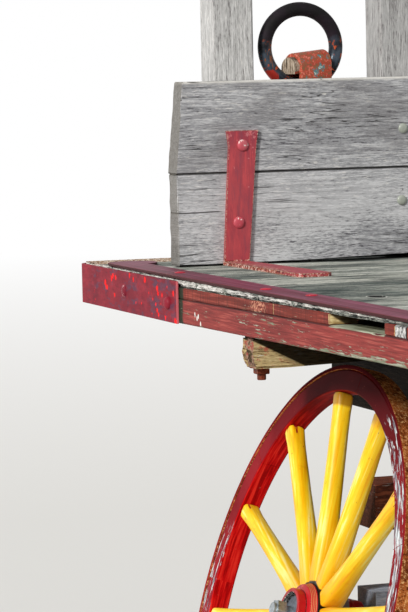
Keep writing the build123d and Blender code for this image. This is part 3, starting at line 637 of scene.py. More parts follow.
def bracket_marks(s):
    """Brush streaks down the bracket, and its foot chipped to rust, white and black along the edges."""
    streak = s.noise(s.stretch(90, 90, 12, (2, 5, 1)), roughness=0.7)
    s.coat(s.step(streak, 0.5, 0.62) * 0.55, (128, 70, 84))
    s.coat(s.step(streak, 0.46, 0.38) * 0.5, (206, 84, 88))
    bits = s.noise(s.coords, scale=130.0, roughness=0.75)
    foot = s.step(s.place(2), above(9), above(7.6), 0.0, 1.0)
    low = s.step(s.place(2), above(26), above(10))
    edge = s.edges(9 * MM) * s.most(low, s.edges(4 * MM) * 0.35)
    chip = s.ramp(
        bits, (0.4, (24, 20, 24)), (0.47, (130, 44, 40)), (0.53, (196, 112, 82)), (0.6, (232, 228, 222))
    )
    outer = s.step(s.deep(), 262 * MM, 244 * MM)
    near_wall = s.step(s.from_middle(), HALF_LENGTH - 740 * MM, HALF_LENGTH - 690 * MM)
    foot *= outer * near_wall
    s.coat(foot * 0.85, chip)
    s.coat(s.step(edge * s.step(bits, 0.42, 0.5, 0.5, 1.0), 0.12, 0.3), chip)


def saddle_marks(s):
    """Weathered orange with olive, green and pale blue patches."""
    grain = s.noise(s.coords, scale=110.0, roughness=0.75)
    s.coat(s.step(grain, 0.50, 0.56), (132, 92, 66))
    s.coat(s.step(grain, 0.44, 0.39), (214, 132, 112))
    patch = s.noise(s.coords, scale=48.0, roughness=0.7)
    low = s.near(station(285), inset(508), above(432), 45 * MM)
    patch += low * 0.16
    s.coat(s.step(patch, 0.60, 0.63), (84, 128, 134))
    s.coat(s.step(patch, 0.68, 0.71), (222, 218, 206))


def rusty_iron(name, dark, rust, bright, balance=0.5, metallic=0.25, roughness=0.7, extra=None):
    """Bare iron with rust in layers, pitted all over."""
    s = Finish(name)
    cloud = s.noise(s.coords, scale=14.0, detail=6, roughness=0.62)
    pits = s.noise(s.coords, scale=190.0, roughness=0.7)
    tone = cloud * 0.6 + pits * 0.4
    middle = 0.62 - 0.24 * balance
    s.colour = s.ramp(
        tone, (middle - 0.12, dark), (middle, rust), (middle + 0.1, rust), (middle + 0.22, bright)
    )
    if extra is not None:
        extra(s)
    return s.finish(s.step(tone, 0.35, 0.65, roughness - 0.2, roughness), pits, 0.6, 0.9, metallic)


def knurled(name):
    """Worn threads in the hub's nose: near-black iron with pale specks of old lubricant and lime."""
    s = Finish(name, "wheel")
    specks = s.noise(s.stretch(170, 170, 420), roughness=0.8)
    s.colour = s.ramp(
        specks, (0.44, (12, 12, 14)), (0.5, (58, 60, 64)), (0.55, (150, 152, 152)),
        (0.6, (224, 224, 220)),
    )
    return s.finish(0.7, specks, 0.6, 1.0, 0.2)


def ring_iron(name):
    """Near-black and rough on the ring's upper half, and below it bare blue-grey iron with rust."""
    s = Finish(name)
    z = s.place(2)
    jagged = s.noise(s.coords, scale=38.0) * (60 * MM)
    below = s.fall(z + jagged, above(505), above(540))
    cloud = s.noise(s.coords, scale=22.0)
    black = s.mix(s.step(cloud, 0.42, 0.66), (9, 6, 8), (28, 18, 28))
    blue = s.mix(s.step(cloud, 0.44, 0.62), (18, 22, 28), (66, 76, 88))
    streak = s.noise(s.stretch(60, 60, 14, (1, 2, 3)), roughness=0.7)
    blue = s.mix(s.step(streak, 0.57, 0.62), blue, (126, 78, 50))
    blue = s.mix(s.step(s.noise(s.coords, scale=70.0), 0.59, 0.63), blue, (180, 80, 44))
    foot = s.near(station(246), inset(384), above(418), 34 * MM)
    blue = s.mix(s.step(foot + streak * 0.4, 0.55, 0.62), blue, (168, 50, 40))
    s.colour = s.mix(below, black, blue)
    height = streak + below * -0.5
    return s.finish(s.step(below, 0, 1, 0.7, 0.26), height, 0.35, 0.8, below * 0.3, gloss=0.22)


def wheel_places(s):
    """Distance from the hub's middle line and the turn about it, from straight ahead."""
    x = s.place(0)
    y = s.place(1)
    radius = s.math("SQRT", x * x + y * y)
    return radius, s.math("ARCTAN2", y, x), x, y


def around(s, turn, radius, along, across, shift=0.0):
    """Coordinates that run round the wheel."""
    inputs = {0: turn * along, 1: radius * across, 2: s.place(2) * across}
    vector = s.value(0, "ShaderNodeCombineXYZ", inputs)
    return s.vector("ADD", vector, (shift, shift, 0.0))


def spoke_paint(name):
    """Glossy yellow with brush marks and red nicks, darker at the roots, painted shadow on the top spokes'
    tips.
    """
    s = Finish(name, "own")
    share = s.part(s.stored("share"), 0)
    wheel = s.stored("wheel")
    brush = s.noise(s.stretch(6, 150, 150), roughness=0.6)
    cloud = s.noise(s.stretch(5, 22, 22))
    tone = cloud * 0.45 + brush * 0.55
    s.colour = s.ramp(
        tone, (0.38, (244, 172, 0)), (0.46, (252, 200, 16)), (0.54, (255, 216, 44)),
        (0.62, (255, 240, 150)),
    )
    s.coat(s.step(share, 0.38, 0.10, 0.0, 0.5), (246, 168, 4))
    dirt_and_shadow = s.step(s.noise(s.coords, scale=38.0, detail=5, roughness=0.7), 0.61, 0.70)
    s.coat(dirt_and_shadow * 0.25, (196, 124, 14))
    nicks = s.step(s.noise(s.coords, scale=105.0, detail=3, roughness=0.7), 0.69, 0.71)
    nicks *= s.step(share, 0.55, 0.85, 0.4, 1.0)
    s.coat(nicks, (150, 30, 34))
    drip = s.step(s.noise(s.stretch(16, 90, 90), detail=3), 0.60, 0.63)
    s.coat(drip * s.step(share, 0.88, 0.95), (160, 24, 24))
    # Painted shadow: the outer ends of the spokes at the wheel's top turn ochre, as in the deck's shade.
    high = s.step(s.part(wheel, 1), 0.395, 0.415)
    band = s.step(share, 0.925, 0.94) * high
    s.coat(band * 0.75, (150, 92, 16))
    s.coat(s.step(share, 0.016, 0.008), (26, 14, 10))
    height = brush * 0.6 + nicks * -0.5
    return s.finish(s.step(brush, 0.3, 0.7, 0.34, 0.55), height, 0.5, 0.9, gloss=0.4)


def felloe_paint(name, tyre=False):
    """Dark maroon on the outer face and scarlet on the inner faces, flaked to grey in long curved streaks."""
    s = Finish(name, "wheel")
    radius, turn, x, y = wheel_places(s)
    axle = s.stored("axle")
    normal = s.value("Normal", "ShaderNodeTexCoord")
    outward = s.vector("DOT_PRODUCT", normal, axle)
    cloud = s.noise(s.coords, scale=5.0)
    brush = s.noise(around(s, turn, radius, 5.0, 150.0))
    face = s.mix(s.step(cloud, 0.38, 0.62), (118, 20, 28), (148, 34, 42))
    # Painted shade: the outer face darkens to near-black maroon toward the wheel's top, as under the deck.
    face = s.mix(s.step(y, 0.26, 0.44) * 0.8, face, (52, 5, 8))
    bright = s.ramp(brush, (0.40, (150, 6, 8)), (0.50, (196, 12, 14)), (0.62, (222, 44, 34)))
    if tyre:
        grit = s.noise(s.coords, scale=150.0, roughness=0.8)
        patch = s.noise(s.coords, scale=16.0, detail=5, roughness=0.6)
        rust = s.ramp(patch, (0.38, (112, 56, 26)), (0.52, (170, 92, 44)), (0.64, (206, 128, 66)))
        rust = s.mix(s.step(grit, 0.55, 0.60), rust, (226, 178, 120))
        rust = s.mix(s.step(grit, 0.45, 0.41), rust, (84, 38, 20))
        s.colour = s.mix(s.step(outward, 0.55, 0.75), rust, face)
        arris = s.fall(abs(outward - 0.6), 0.1, 0.35)
        s.coat(arris * 0.8, s.mix(s.step(x, -0.1, 0.1), (214, 110, 58), (198, 34, 46)) )
        return s.finish(0.85, grit, 0.5, 1.0, gloss=0.03)
    # Painted shade: the scarlet inner faces darken toward the wheel's top as well.
    bright = s.mix(s.step(y, 0.3, 0.42) * 0.6, bright, (84, 14, 12))
    s.colour = s.mix(s.step(outward, 0.45, 0.75), bright, face)
    ahead = s.step(turn, 1.14, 0.86)
    behind = s.step(x, -0.4, -0.44) * s.step(y, 0.16, 0.02)
    amount = s.most(ahead * s.step(x, 0.0, 0.1), behind * 0.75)
    streak = s.noise(around(s, turn, radius, 9.0, 150.0, 3.0), detail=5, roughness=0.62)
    flaked = s.step(streak + amount * 0.085, 0.575, 0.6)
    flaked = flaked * amount * s.step(outward, 0.3, 0.6)
    flaked = s.step(flaked, 0.15, 0.4)
    shade = s.noise(around(s, turn, radius, 14.0, 240.0), detail=3)
    grey = s.ramp(shade, (0.42, (104, 92, 102)), (0.50, (168, 172, 178)), (0.58, (222, 228, 230)))
    s.coat(flaked, grey)
    nicks = s.step(s.noise(s.coords, scale=120.0, detail=3, roughness=0.7), 0.68, 0.70)
    s.coat(nicks * 0.5, (180, 84, 70))
    height = brush * 0.5 - flaked * 0.7
    return s.finish(s.step(flaked, 0, 1, 0.6, 0.9), height, 0.4, 1.0, gloss=0.04)


# Woods and irons: light, middle, dark.
RACK_TONES = ((196, 197, 200), (153, 154, 158), (84, 83, 88))
UNDER_TONES = ((120, 104, 84), (82, 68, 54), (44, 36, 28))

finishes = {
    "rack": weathered_wood("rack_boards", 1, *RACK_TONES, end=(112, 108, 100), crack=0.6, extra=rack_marks),
    "deck": weathered_wood(
        "deck_boards", 1, (216, 216, 206), (164, 168, 160), (84, 94, 92), end=splintered, crack=0.9,
        fine=0.7, extra=deck_marks,
    ),
    "stake": weathered_wood(
        "stake_wood", 2, (212, 212, 212), (182, 182, 182), (126, 124, 124), crack=0.2, fine=0.9,
        extra=stake_marks,
    ),
    "rail": weathered_wood("rail_wood", 1, (190, 186, 180), (158, 154, 150), (104, 100, 96)),
    "bearer": weathered_wood(
        "bearer_wood", 1, (216, 200, 156), (186, 166, 120), (100, 80, 56), end=crumbled,
        extra=stained_bearer,
    ),
    "timber_along": weathered_wood("timber_along", 0, *UNDER_TONES, flecks=0.15),
    "timber_across": weathered_wood("timber_across", 1, *UNDER_TONES, flecks=0.15),
    "axle": weathered_wood(
        "axle_wood", 1, (182, 192, 208), (146, 156, 172), (96, 102, 112), crack=0.2, extra=shaded_below_top
    ),
    # Painted shade: the main beams' wood is near-black, standing in for the deep shade under the deck.
    "beam": weathered_wood("beam_painted_shade", 0, (46, 38, 30), (28, 23, 19), (12, 10, 9), flecks=0.0),
    "pole": weathered_wood("pole_wood", 0, (186, 176, 158), (150, 138, 120), (92, 82, 70)),
    "bolster": weathered_wood("bolster_wood", 1, (150, 84, 60), (104, 58, 44), (48, 32, 28), crack=0.8),
    "sill": painted_timber("sill_paint", (148, 58, 54), (120, 46, 44), (120, 128, 106), 0.42, sill_marks),
    "filler": painted_timber(
        "filler_paint", (140, 52, 38), (112, 40, 30), (150, 120, 95), 0.1, filler_marks
    ),
    "strip": painted_iron(
        "strip_paint", (118, 46, 70), (88, 30, 46), (180, 52, 76), (98, 50, 38), 0.1, 0.3, 0.5,
        strip_marks, 0.1,
    ),
    "strap": painted_iron(
        "strap_paint", (136, 28, 44), (112, 22, 40), (206, 20, 28), (84, 26, 34), 0.05, 0.25, 0.5,
        strap_marks, 0.08,
    ),
    "strap_bolt": painted_iron(
        "strap_bolt_paint", (140, 34, 50), (108, 24, 42), (206, 150, 156), (70, 24, 30), 0.9, 0.4, 0.5
    ),
    "bracket": painted_iron(
        "bracket_paint", (180, 78, 84), (156, 64, 76), (200, 118, 122), (86, 38, 32), 0.3, 0.9, 0.5,
        bracket_marks, 0.1,
    ),
    "bolt": painted_iron(
        "bolt_paint", (158, 164, 154), (120, 126, 118), (196, 196, 186), (86, 70, 56), 0.4, 0.3, 0.3,
        gloss=0.6,
    ),
    "rivet": painted_iron(
        "rivet_paint", (196, 52, 74), (186, 96, 104), (232, 206, 204), (120, 40, 40), 1.0, 0.3, 0.35,
        gloss=0.4,
    ),
    "strip_rivet": painted_iron(
        "strip_rivet_paint", (206, 44, 68), (170, 34, 54), (224, 96, 108), (100, 40, 36), 0.1, 0.3, 0.4
    ),
    "rust": rusty_iron("rust_iron", (60, 28, 22), (128, 62, 40), (190, 108, 74)),
    "iron": rusty_iron("dark_iron", (44, 40, 40), (84, 70, 62), (140, 96, 70), 0.45, 0.5, 0.6),
    "tyre": felloe_paint("tyre_paint", True),
    "ring": ring_iron("ring_iron"),
    "arm": rusty_iron("arm_iron", (70, 74, 84), (110, 118, 130), (150, 110, 84), 0.5, 0.4, 0.5),
    "steel": rusty_iron("nut_steel", (120, 128, 132), (178, 186, 190), (205, 208, 208), 0.5, 0.8, 0.45),
    "saddle": painted_iron(
        "saddle_paint", (186, 80, 62), (166, 62, 46), (136, 60, 44), (96, 48, 34), 0.6, 0.5, 0.6,
        saddle_marks,
    ),
    "plug": weathered_wood("plug_wood", 2, (214, 206, 192), (164, 148, 130), (70, 58, 46), crack=0.9),
    "spoke": spoke_paint("spoke_yellow"),
    "felloe": felloe_paint("felloe_red"),
    "hub": painted_iron(
        "hub_red", (190, 26, 34), (152, 18, 28), (214, 84, 62), (96, 62, 52), 0.5, 0.5, 0.35
    ),
    "gilt": painted_iron(
        "hub_gilt", (206, 160, 112), (150, 96, 72), (196, 40, 44), (90, 60, 50), 0.8, 0.4, 0.5
    ),
    "hub_band": painted_iron(
        "hub_band_grey", (150, 146, 152), (98, 86, 92), (196, 40, 44), (70, 60, 60), 1.0, 0.4, 0.5
    ),
    "thread": knurled("hub_thread"),
    "tar": rusty_iron("hub_tar", (16, 12, 12), (28, 20, 18), (74, 30, 22), 0.3, 0.0, 0.6),
}


def piece(name, points, faces, body, finish_names, replaced=(), material_of=None, smooth=40):
    """A mesh object that rides on a body. material_of gives the finish's number for each face."""
    mesh = bpy.data.meshes.new(name)
    mesh.from_pydata([tuple(point) for point in points], [], faces)
    for finish_name in finish_names:
        mesh.materials.append(finishes[finish_name])
    if material_of is not None:
        mesh.polygons.foreach_set("material_index", material_of)
    mesh.validate()
    mesh.shade_smooth()
    mesh.set_sharp_from_angle(angle=math.radians(smooth))
    made = bpy.data.objects.new(name, mesh)
    bpy.context.scene.collection.objects.link(made)
    weighted = made.modifiers.new("face_normals", "WEIGHTED_NORMAL")
    weighted.keep_sharp = True
    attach(made, body)
    if replaced:
        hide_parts(*replaced)
    return made


def store(made, name, values):
    """Keeps a vector at each point, for a finish to read."""
    layer = made.data.attributes.new(name, "FLOAT_VECTOR", "POINT")
    layer.data.foreach_set("vector", [number for value in values for number in value])


def solid_boxes(node):
    """The lowest and highest corner of each separate solid of a node."""
    mesh = bmesh.new()
    mesh.from_mesh(frame["nodes"][node].data)
    bmesh.ops.remove_doubles(mesh, verts=mesh.verts, dist=0.01 * MM)
    seen = set()
    boxes = []
    for start in mesh.verts:
        if start in seen:
            continue
        group = [start]
        seen.add(start)
        for vert in group:
            for edge in vert.link_edges:
                other = edge.other_vert(vert)
                if other not in seen:
                    seen.add(other)
                    group.append(other)
        low = Vector([min(vert.co[axis] for vert in group) for axis in range(3)])
        high = Vector([max(vert.co[axis] for vert in group) for axis in range(3)])
        boxes.append((low, high))
    mesh.free()
    return boxes


def ticks(low, high, step, edge):
    """Cuts along one side of a timber: close at both arrises, even between them."""
    count = max(1, round((high - low - 2 * edge) / step))
    inner = [low + edge + (high - low - 2 * edge) * index / count for index in range(count + 1)]
    return [low, *inner, high]


def grid_box(xs, ys, zs):
    """A box's skin, cut at the given places. Each point also has its place in the three lists."""
    index = {}
    points = []
    faces = []

    def at(*key):
        if key not in index:
            index[key] = len(points)
            points.append((xs[key[0]], ys[key[1]], zs[key[2]]))
        return index[key]

    last_x = len(xs) - 1
    last_y = len(ys) - 1
    last_z = len(zs) - 1
    for i in range(last_x):
        for j in range(last_y):
            faces.append(
                (at(i, j, last_z), at(i + 1, j, last_z), at(i + 1, j + 1, last_z), at(i, j + 1, last_z))
            )
            faces.append((at(i, j, 0), at(i, j + 1, 0), at(i + 1, j + 1, 0), at(i + 1, j, 0)))
    for i in range(last_x):
        for k in range(last_z):
            faces.append((at(i, 0, k), at(i + 1, 0, k), at(i + 1, 0, k + 1), at(i, 0, k + 1)))
            faces.append(
                (at(i, last_y, k), at(i, last_y, k + 1), at(i + 1, last_y, k + 1), at(i + 1, last_y, k))
            )
    for j in range(last_y):
        for k in range(last_z):
            faces.append((at(0, j, k), at(0, j, k + 1), at(0, j + 1, k + 1), at(0, j + 1, k)))
            faces.append(
                (at(last_x, j, k), at(last_x, j + 1, k), at(last_x, j + 1, k + 1), at(last_x, j, k + 1))
            )
    return points, faces, index


def flutter(point, scale, seed):
    """Smooth noise from 0 to 1 at a point."""
    shifted = Vector(
        (point[0] * scale[0] + seed, point[1] * scale[1] - seed, point[2] * scale[2] + 2 * seed)
    )
    return clamp(0.5 + 0.5 * noise.noise(shifted))


def inside_corner(point, gap):
    """Pulls a point in to the deck's rounded corner, a gap inside it."""
    radius = CORNER_RADIUS - gap
    x_side = math.copysign(1, point[0] - MIDDLE_X)
    y_side = math.copysign(1, point[1])
    centre_x = MIDDLE_X + x_side * (HALF_LENGTH - CORNER_RADIUS)
    centre_y = y_side * (HALF_WIDTH - CORNER_RADIUS)
    dx = (point[0] - centre_x) * x_side
    dy = (point[1] - centre_y) * y_side
    reach = math.hypot(dx, dy)
    if dx > 0 and dy > 0 and reach > radius:
        return centre_x + x_side * dx * radius / reach, centre_y + y_side * dy * radius / reach, point[2]
    return point


def timbers(
    name, node, axis, finish_name, edge=3, nibble=2, ragged=0, step=90, fine=45, corner_gap=None,
    bend=None, layer=None,
):
    """Worn boards in place of a node's boxes: eased arrises, nibbled edges and, where asked, ragged ends."""
    points = []
    faces = []
    for number, (low, high) in enumerate(solid_boxes(node)):
        cuts = []
        for side in range(3):
            length = high[side] - low[side]
            pitch = step * MM if side == axis else fine * MM
            if side == 2 and layer is not None:
                pitch = layer * MM
            cuts.append(ticks(low[side], high[side], pitch, min(edge * MM, length / 4)))
        if ragged:
            ends = [low[axis] + ragged * share * MM for share in (1.6, 3.2)]
            tail = [high[axis] - ragged * share * MM for share in (3.2, 1.6)]
            cuts[axis] = sorted(set(cuts[axis] + ends + tail))
        box_points, box_faces, index = grid_box(*cuts)
        last = [len(cut) - 1 for cut in cuts]
        moved = [None] * len(box_points)
        for key, place in index.items():
            point = list(box_points[place])
            at_end = [(-1 if key[side] == 0 else 1 if key[side] == last[side] else 0) for side in range(3)]
            extremes = sum(1 for value in at_end if value)
            seed = 7.3 * number
            if extremes >= 2:
                chewed = clamp((flutter(point, (24, 24, 24), seed) - 0.42) / 0.3)
                bite = chewed * chewed * nibble * MM + 0.30 * edge * MM
                fine_bite = flutter(point, (110, 110, 110), seed) * nibble * 0.4 * MM
                for side in range(3):
                    point[side] -= at_end[side] * (bite + fine_bite)
            if ragged and at_end[axis]:
                scale = [70.0, 70.0, 70.0]
                scale[axis] = 1.0
                if layer is not None:
                    scale[2] = 420.0
                torn = clamp((flutter(box_points[place], scale, seed) - 0.32) / 0.36)
                rough = flutter(box_points[place], (20, 20, 60), seed)
                point[axis] -= at_end[axis] * (0.8 * torn + 0.4 * rough) * ragged * MM
            if bend is not None:
                point = bend(point, low, high, number)
            if corner_gap is not None:
                point = inside_corner(point, corner_gap * MM)
            moved[place] = tuple(point)
        add(points, faces, moved, box_faces)
    return piece(name, points, faces, "bed", [finish_name], [node])


def eased(name, node, width, finish_names, body, choose=None, bend=None):
    """The node's own form with its arrises rounded. choose gives a finish's number for a face's centre."""
    mesh = bmesh.new()
    mesh.from_mesh(frame["nodes"][node].data)
    bmesh.ops.remove_doubles(mesh, verts=mesh.verts, dist=0.01 * MM)
    bmesh.ops.dissolve_limit(mesh, angle_limit=math.radians(1), verts=mesh.verts, edges=mesh.edges)
    shared = [edge for edge in mesh.edges if len(edge.link_faces) == 2]
    sharp = [edge for edge in shared if edge.calc_face_angle() > math.radians(30)]
    bmesh.ops.bevel(
        mesh, geom=sharp, offset=width * MM, segments=2, profile=0.5, affect="EDGES", clamp_overlap=True
    )
    bmesh.ops.triangulate(mesh, faces=[face for face in mesh.faces if len(face.verts) > 4])
    made = bpy.data.meshes.new(name)
    mesh.to_mesh(made)
    mesh.free()
    points = [tuple(vertex.co if bend is None else bend(vertex.co)) for vertex in made.vertices]
    faces = [tuple(polygon.vertices) for polygon in made.polygons]
    material_of = None if choose is None else [choose(polygon.center) for polygon in made.polygons]
    bpy.data.meshes.remove(made)
    return piece(name, points, faces, body, finish_names, [node], material_of)


def add(points, faces, more_points, more_faces):
    """Puts another form's points and faces after those that are there."""
    base = len(points)
    points += more_points
    faces += [tuple(base + corner for corner in face) for face in more_faces]


def tube_faces(rows, count):
    """Faces of a closed skin over rows of points, each row going round."""
    faces = []
    for row in range(rows - 1):
        here = row * count
        for index in range(count):
            after = (index + 1) % count
            faces.append((here + index, here + after, here + count + after, here + count + index))
    top = (rows - 1) * count
    faces.append(tuple(range(count))[::-1])
    faces.append(tuple(range(top, top + count)))
    return faces


def lathe(profile, segments, start=0.0, sweep=360.0):
    """Turns (radius, z) points about z. A part sweep is closed at both ends."""
    whole = sweep >= 360.0
    rows = segments if whole else segments + 1
    points = []
    faces = []
    for row in range(rows):
        angle = math.radians(start + sweep * row / segments)
        points += [(radius * math.cos(angle), radius * math.sin(angle), z) for radius, z in profile]
    count = len(profile)
    for row in range(segments):
        here = row * count
        there = ((row + 1) % rows) * count
        for index in range(count):
            after = (index + 1) % count
            faces.append((here + index, there + index, there + after, here + after))
    if not whole:
        faces.append(tuple(range(count)))
        faces.append(tuple(range((rows - 1) * count, rows * count))[::-1])
    return points, faces


def rounded_profile(inner, outer, low, high, radius, steps=3):
    """A ring's section with rounded corners, as (radius, z) points that run counter-clockwise."""
    corners = (
        (outer - radius, low + radius, 270),
        (outer - radius, high - radius, 0),
        (inner + radius, high - radius, 90),
        (inner + radius, low + radius, 180),
    )
    profile = []
    for r, z, first in corners:
        for index in range(steps + 1):
            angle = math.radians(first + 90 * index / steps)
            profile.append((r + radius * math.cos(angle), z + radius * math.sin(angle)))
    return profile


def wheel_frame(body, side):
    """The wheel's own frame at rest: z outboard along its axis, x straight ahead."""
    joint = next(entry for entry in frame["joints"] if entry["child"] == body)
    axis = Vector(joint["axis"]).normalized()
    if axis.y * side < 0:
        axis = -axis
    ahead = Vector((1, 0, 0))
    turn = Matrix((ahead, axis.cross(ahead), axis)).transposed().to_4x4()
    return Matrix.Translation(joint["pos_m"]) @ turn


def wheel_piece(
    suffix, prefix, points, faces, finish_names, node, place, phase, material_of=None, smooth=40
):
    """A piece of a wheel, turned to the wheel's first spoke and set in place."""
    turn = Matrix.Rotation(math.radians(phase), 4, "Z")
    local = [turn @ Vector(point) for point in points]
    world = [place @ point for point in local]
    replaced = [f"{prefix}_{node}"]
    made = piece(
        f"{prefix}_{suffix}", world, faces, prefix, finish_names, replaced, material_of, smooth
    )
    store(made, "wheel", local)
    axle = place.to_3x3() @ Vector((0, 0, 1))
    store(made, "axle", [axle] * len(local))
    return made


# Spoke sections: share of the way from hub to rim, width, depth in mm, squareness (2 is round).
SPOKE_SECTIONS = (
    (-0.005, 34.0, 45.0, 8.0),
    (0.02, 36.5, 46.5, 6.0),
    (0.06, 40.0, 46.5, 4.4),
    (0.11, 41.0, 45.5, 3.6),
    (0.17, 40.0, 44.0, 3.0),
    (0.26, 38.0, 42.0, 2.6),
    (0.40, 36.5, 40.0, 2.4),
    (0.60, 35.0, 38.0, 2.3),
    (0.80, 34.0, 36.0, 2.4),
    (0.90, 33.5, 35.0, 2.9),
    (0.955, 33.5, 35.0, 4.2),
    (0.985, 33.5, 35.0, 4.6),
    (1.0, 29.0, 31.0, 4.0),
)
SPOKE_SIDES = 28


def spoke_points(radius):
    inner = radius - TYRE_THICKNESS - SEAT_GAP - FELLOE_DEPTH
    root = HUB_RADIUS + SEAT_GAP
    tip = inner - SHOULDER_GAP
    points = []
    for share, width, depth, square in SPOKE_SECTIONS:
        for index in range(SPOKE_SIDES):
            angle = 2 * math.pi * index / SPOKE_SIDES
            across = math.copysign(abs(math.cos(angle)) ** (2 / square), math.cos(angle)) * width / 2 * MM
            deep = math.copysign(abs(math.sin(angle)) ** (2 / square), math.sin(angle)) * depth / 2 * MM
            points.append((root + share * (tip - root), across, deep - DISH * (1 - share)))
    return points


def spokes(prefix, radius, place, phase):
    points = []
    faces = []
    own = []
    shares = []
    for number in range(SPOKES_PER_WHEEL):
        turn = Matrix.Rotation(2 * math.pi * number / SPOKES_PER_WHEEL, 3, "Z")
        turned = []
        for index, point in enumerate(spoke_points(radius)):
            own.append((point[0] + 1.7 * number, point[1], point[2]))
            shares.append((SPOKE_SECTIONS[index // SPOKE_SIDES][0], 0.0, 0.0))
            wobble = 0.35 * MM * noise.noise(Vector((point[0] * 14, number * 3.1, point[1] * 30)))
            turned.append(turn @ Vector((point[0], point[1] + wobble, point[2] + wobble)))
        add(points, faces, turned, tube_faces(len(SPOKE_SECTIONS), SPOKE_SIDES))
    made = wheel_piece(
        "spoke_set", prefix, points, faces, ["spoke"], "spokes", place, phase
    )
    store(made, "own", own)
    store(made, "share", shares)


def felloes(prefix, radius, place, phase):
    outer = radius - TYRE_THICKNESS - SEAT_GAP
    profile = rounded_profile(outer - FELLOE_DEPTH, outer, -FELLOE_WIDTH / 2, FELLOE_WIDTH / 2, 4 * MM)
    gap = math.degrees(SAW_JOINT / outer)
    sweep = 360 / FELLOES_PER_WHEEL
    points = []
    faces = []
    for number in range(FELLOES_PER_WHEEL):
        start = FELLOE_JOINT_PHASE + number * sweep + gap / 2
        add(points, faces, *lathe(profile, 24, start, sweep - gap))
    wheel_piece("felloe_set", prefix, points, faces, ["felloe"], "felloes", place, phase)


def tyre(prefix, radius, place, phase):
    profile = rounded_profile(radius - TYRE_THICKNESS, radius, -TYRE_WIDTH / 2, TYRE_WIDTH / 2, 2.5 * MM, 2)
    points, faces = lathe(profile, 144)
    worn = []
    for point in points:
        dent = 1 - 0.0012 * max(0.0, noise.noise(Vector(point) * 30))
        worn.append((point[0] * dent, point[1] * dent, point[2]))
    wheel_piece("tyre_ring", prefix, worn, faces, ["tyre"], "tyre", place, phase)


# Hub profile: radius, z in mm, and the finish of the stretch that follows it.
HUB_PROFILE = (
    (30.05, -118.0, "iron"),
    (54.8, -118.0, "hub"),
    (56.0, -116.8, "hub"),
    (56.0, -95.2, "hub"),
    (53.0, -93.0, "hub"),
    (54.0, -84.0, "hub"),
    (62.0, -79.0, "hub_band"),
    (64.2, -78.4, "hub_band"),
    (65.0, -77.0, "hub_band"),
    (66.8, -64.0, "hub_band"),
    (68.0, -59.0, "tar"),
    (68.0, -8.8, "tar"),
    (67.2, -7.4, "hub"),
    (66.2, -5.6, "gilt"),
    (65.7, -4.8, "hub"),
    (65.3, -2.6, "gilt"),
    (64.8, -1.8, "hub"),
    (64.4, 0.6, "gilt"),
    (63.9, 1.4, "hub"),
    (63.4, 3.6, "gilt"),
    (62.9, 4.4, "hub"),
    (62.4, 6.4, "hub"),
    (60.0, 7.8, "hub"),
    (51.0, 9.2, "tar"),
    (50.6, 10.4, "hub"),
    (51.0, 11.4, "hub"),
    (51.0, 25.8, "hub"),
    (49.8, 27.0, "hub"),
    (43.2, 27.0, "thread"),
    (42.0, 25.8, "thread"),
    (42.0, 9.0, "thread"),
    (30.05, 9.0, "thread"),
)
HUB_SEGMENTS = 72


def hub(prefix, place, phase):
    profile = [(radius * MM, z * MM) for radius, z, finish_name in HUB_PROFILE]
    names = sorted({finish_name for radius, z, finish_name in HUB_PROFILE})
    points, faces = lathe(profile, HUB_SEGMENTS)
    material_of = [names.index(finish_name) for radius, z, finish_name in HUB_PROFILE] * HUB_SEGMENTS
    wheel_piece("hub_shell", prefix, points, faces, names, "hub", place, phase, material_of, 28)


for prefix, side, radius, phase in WHEELS:
    place = wheel_frame(prefix, side)
    spokes(prefix, radius, place, phase)
    felloes(prefix, radius, place, phase)
    tyre(prefix, radius, place, phase)
    hub(prefix, place, phase)


# Bed.
def bow(x):
    """Share of the bow at an x in the frame."""
    from_end = HALF_LENGTH - abs(x - MIDDLE_X)
    return clamp((from_end - BOW_START) / BOW_LENGTH)


def portion(point, low, high, axis):
    """How far from a board's lower side to its higher one a point lies, 0 to 1."""
    return (point[axis] - low[axis]) / (high[axis] - low[axis])


def cup(point, low, high, number):
    """Boards have cupped a little, each by its own amount, and are thinner at their ends over the bow."""
    share = portion(point, low, high, 0) - 0.5
    hollow = (1.0 + 1.0 * math.sin(number * 2.4)) * MM * (share * share * 4 - 1) * 0.5
    z = point[2] + min(hollow, 0.0)
    if abs(point[1]) > HALF_WIDTH - 100 * MM:
        z += FILLER_BOW * bow(point[0]) * (1 - portion(point, low, high, 2))
    return [point[0], point[1], z]


def bowed_sill(point, low, high, number):
    return [point[0], point[1], point[2] + SILL_BOW * bow(point[0])]


# Where the filler lengths beside the first slot start or end: as modelled, and as they have shrunk or slid.
FILLER_ENDS = {1644: 1597, 1885: 1872, 1929: 1918, 1934: 1921}


def bowed_filler(point, low, high, number):
    """Bows with the sill, a little thinner in the middle, and has shrunk or slid along it."""
    ends = [point[0], point[0]]
    for index, old in enumerate((low.x, high.x)):
        near = round((old - REAR_X) / MM)
        if near in FILLER_ENDS:
            ends[index] = point[0] + (FILLER_ENDS[near] - near) * MM
    share = portion(point, low, high, 0)
    x = ends[0] * (1 - share) + ends[1] * share
    up_share = portion(point, low, high, 2)
    rise = SILL_BOW + (FILLER_BOW - SILL_BOW) * up_share
    return [x, point[1], point[2] + rise * bow(point[0])]


def stout(point, low, high, number):
    """The stakes have swollen across."""
    middle = (low.y + high.y) / 2
    return [point[0], middle + (point[1] - middle) * 1.09, point[2]]


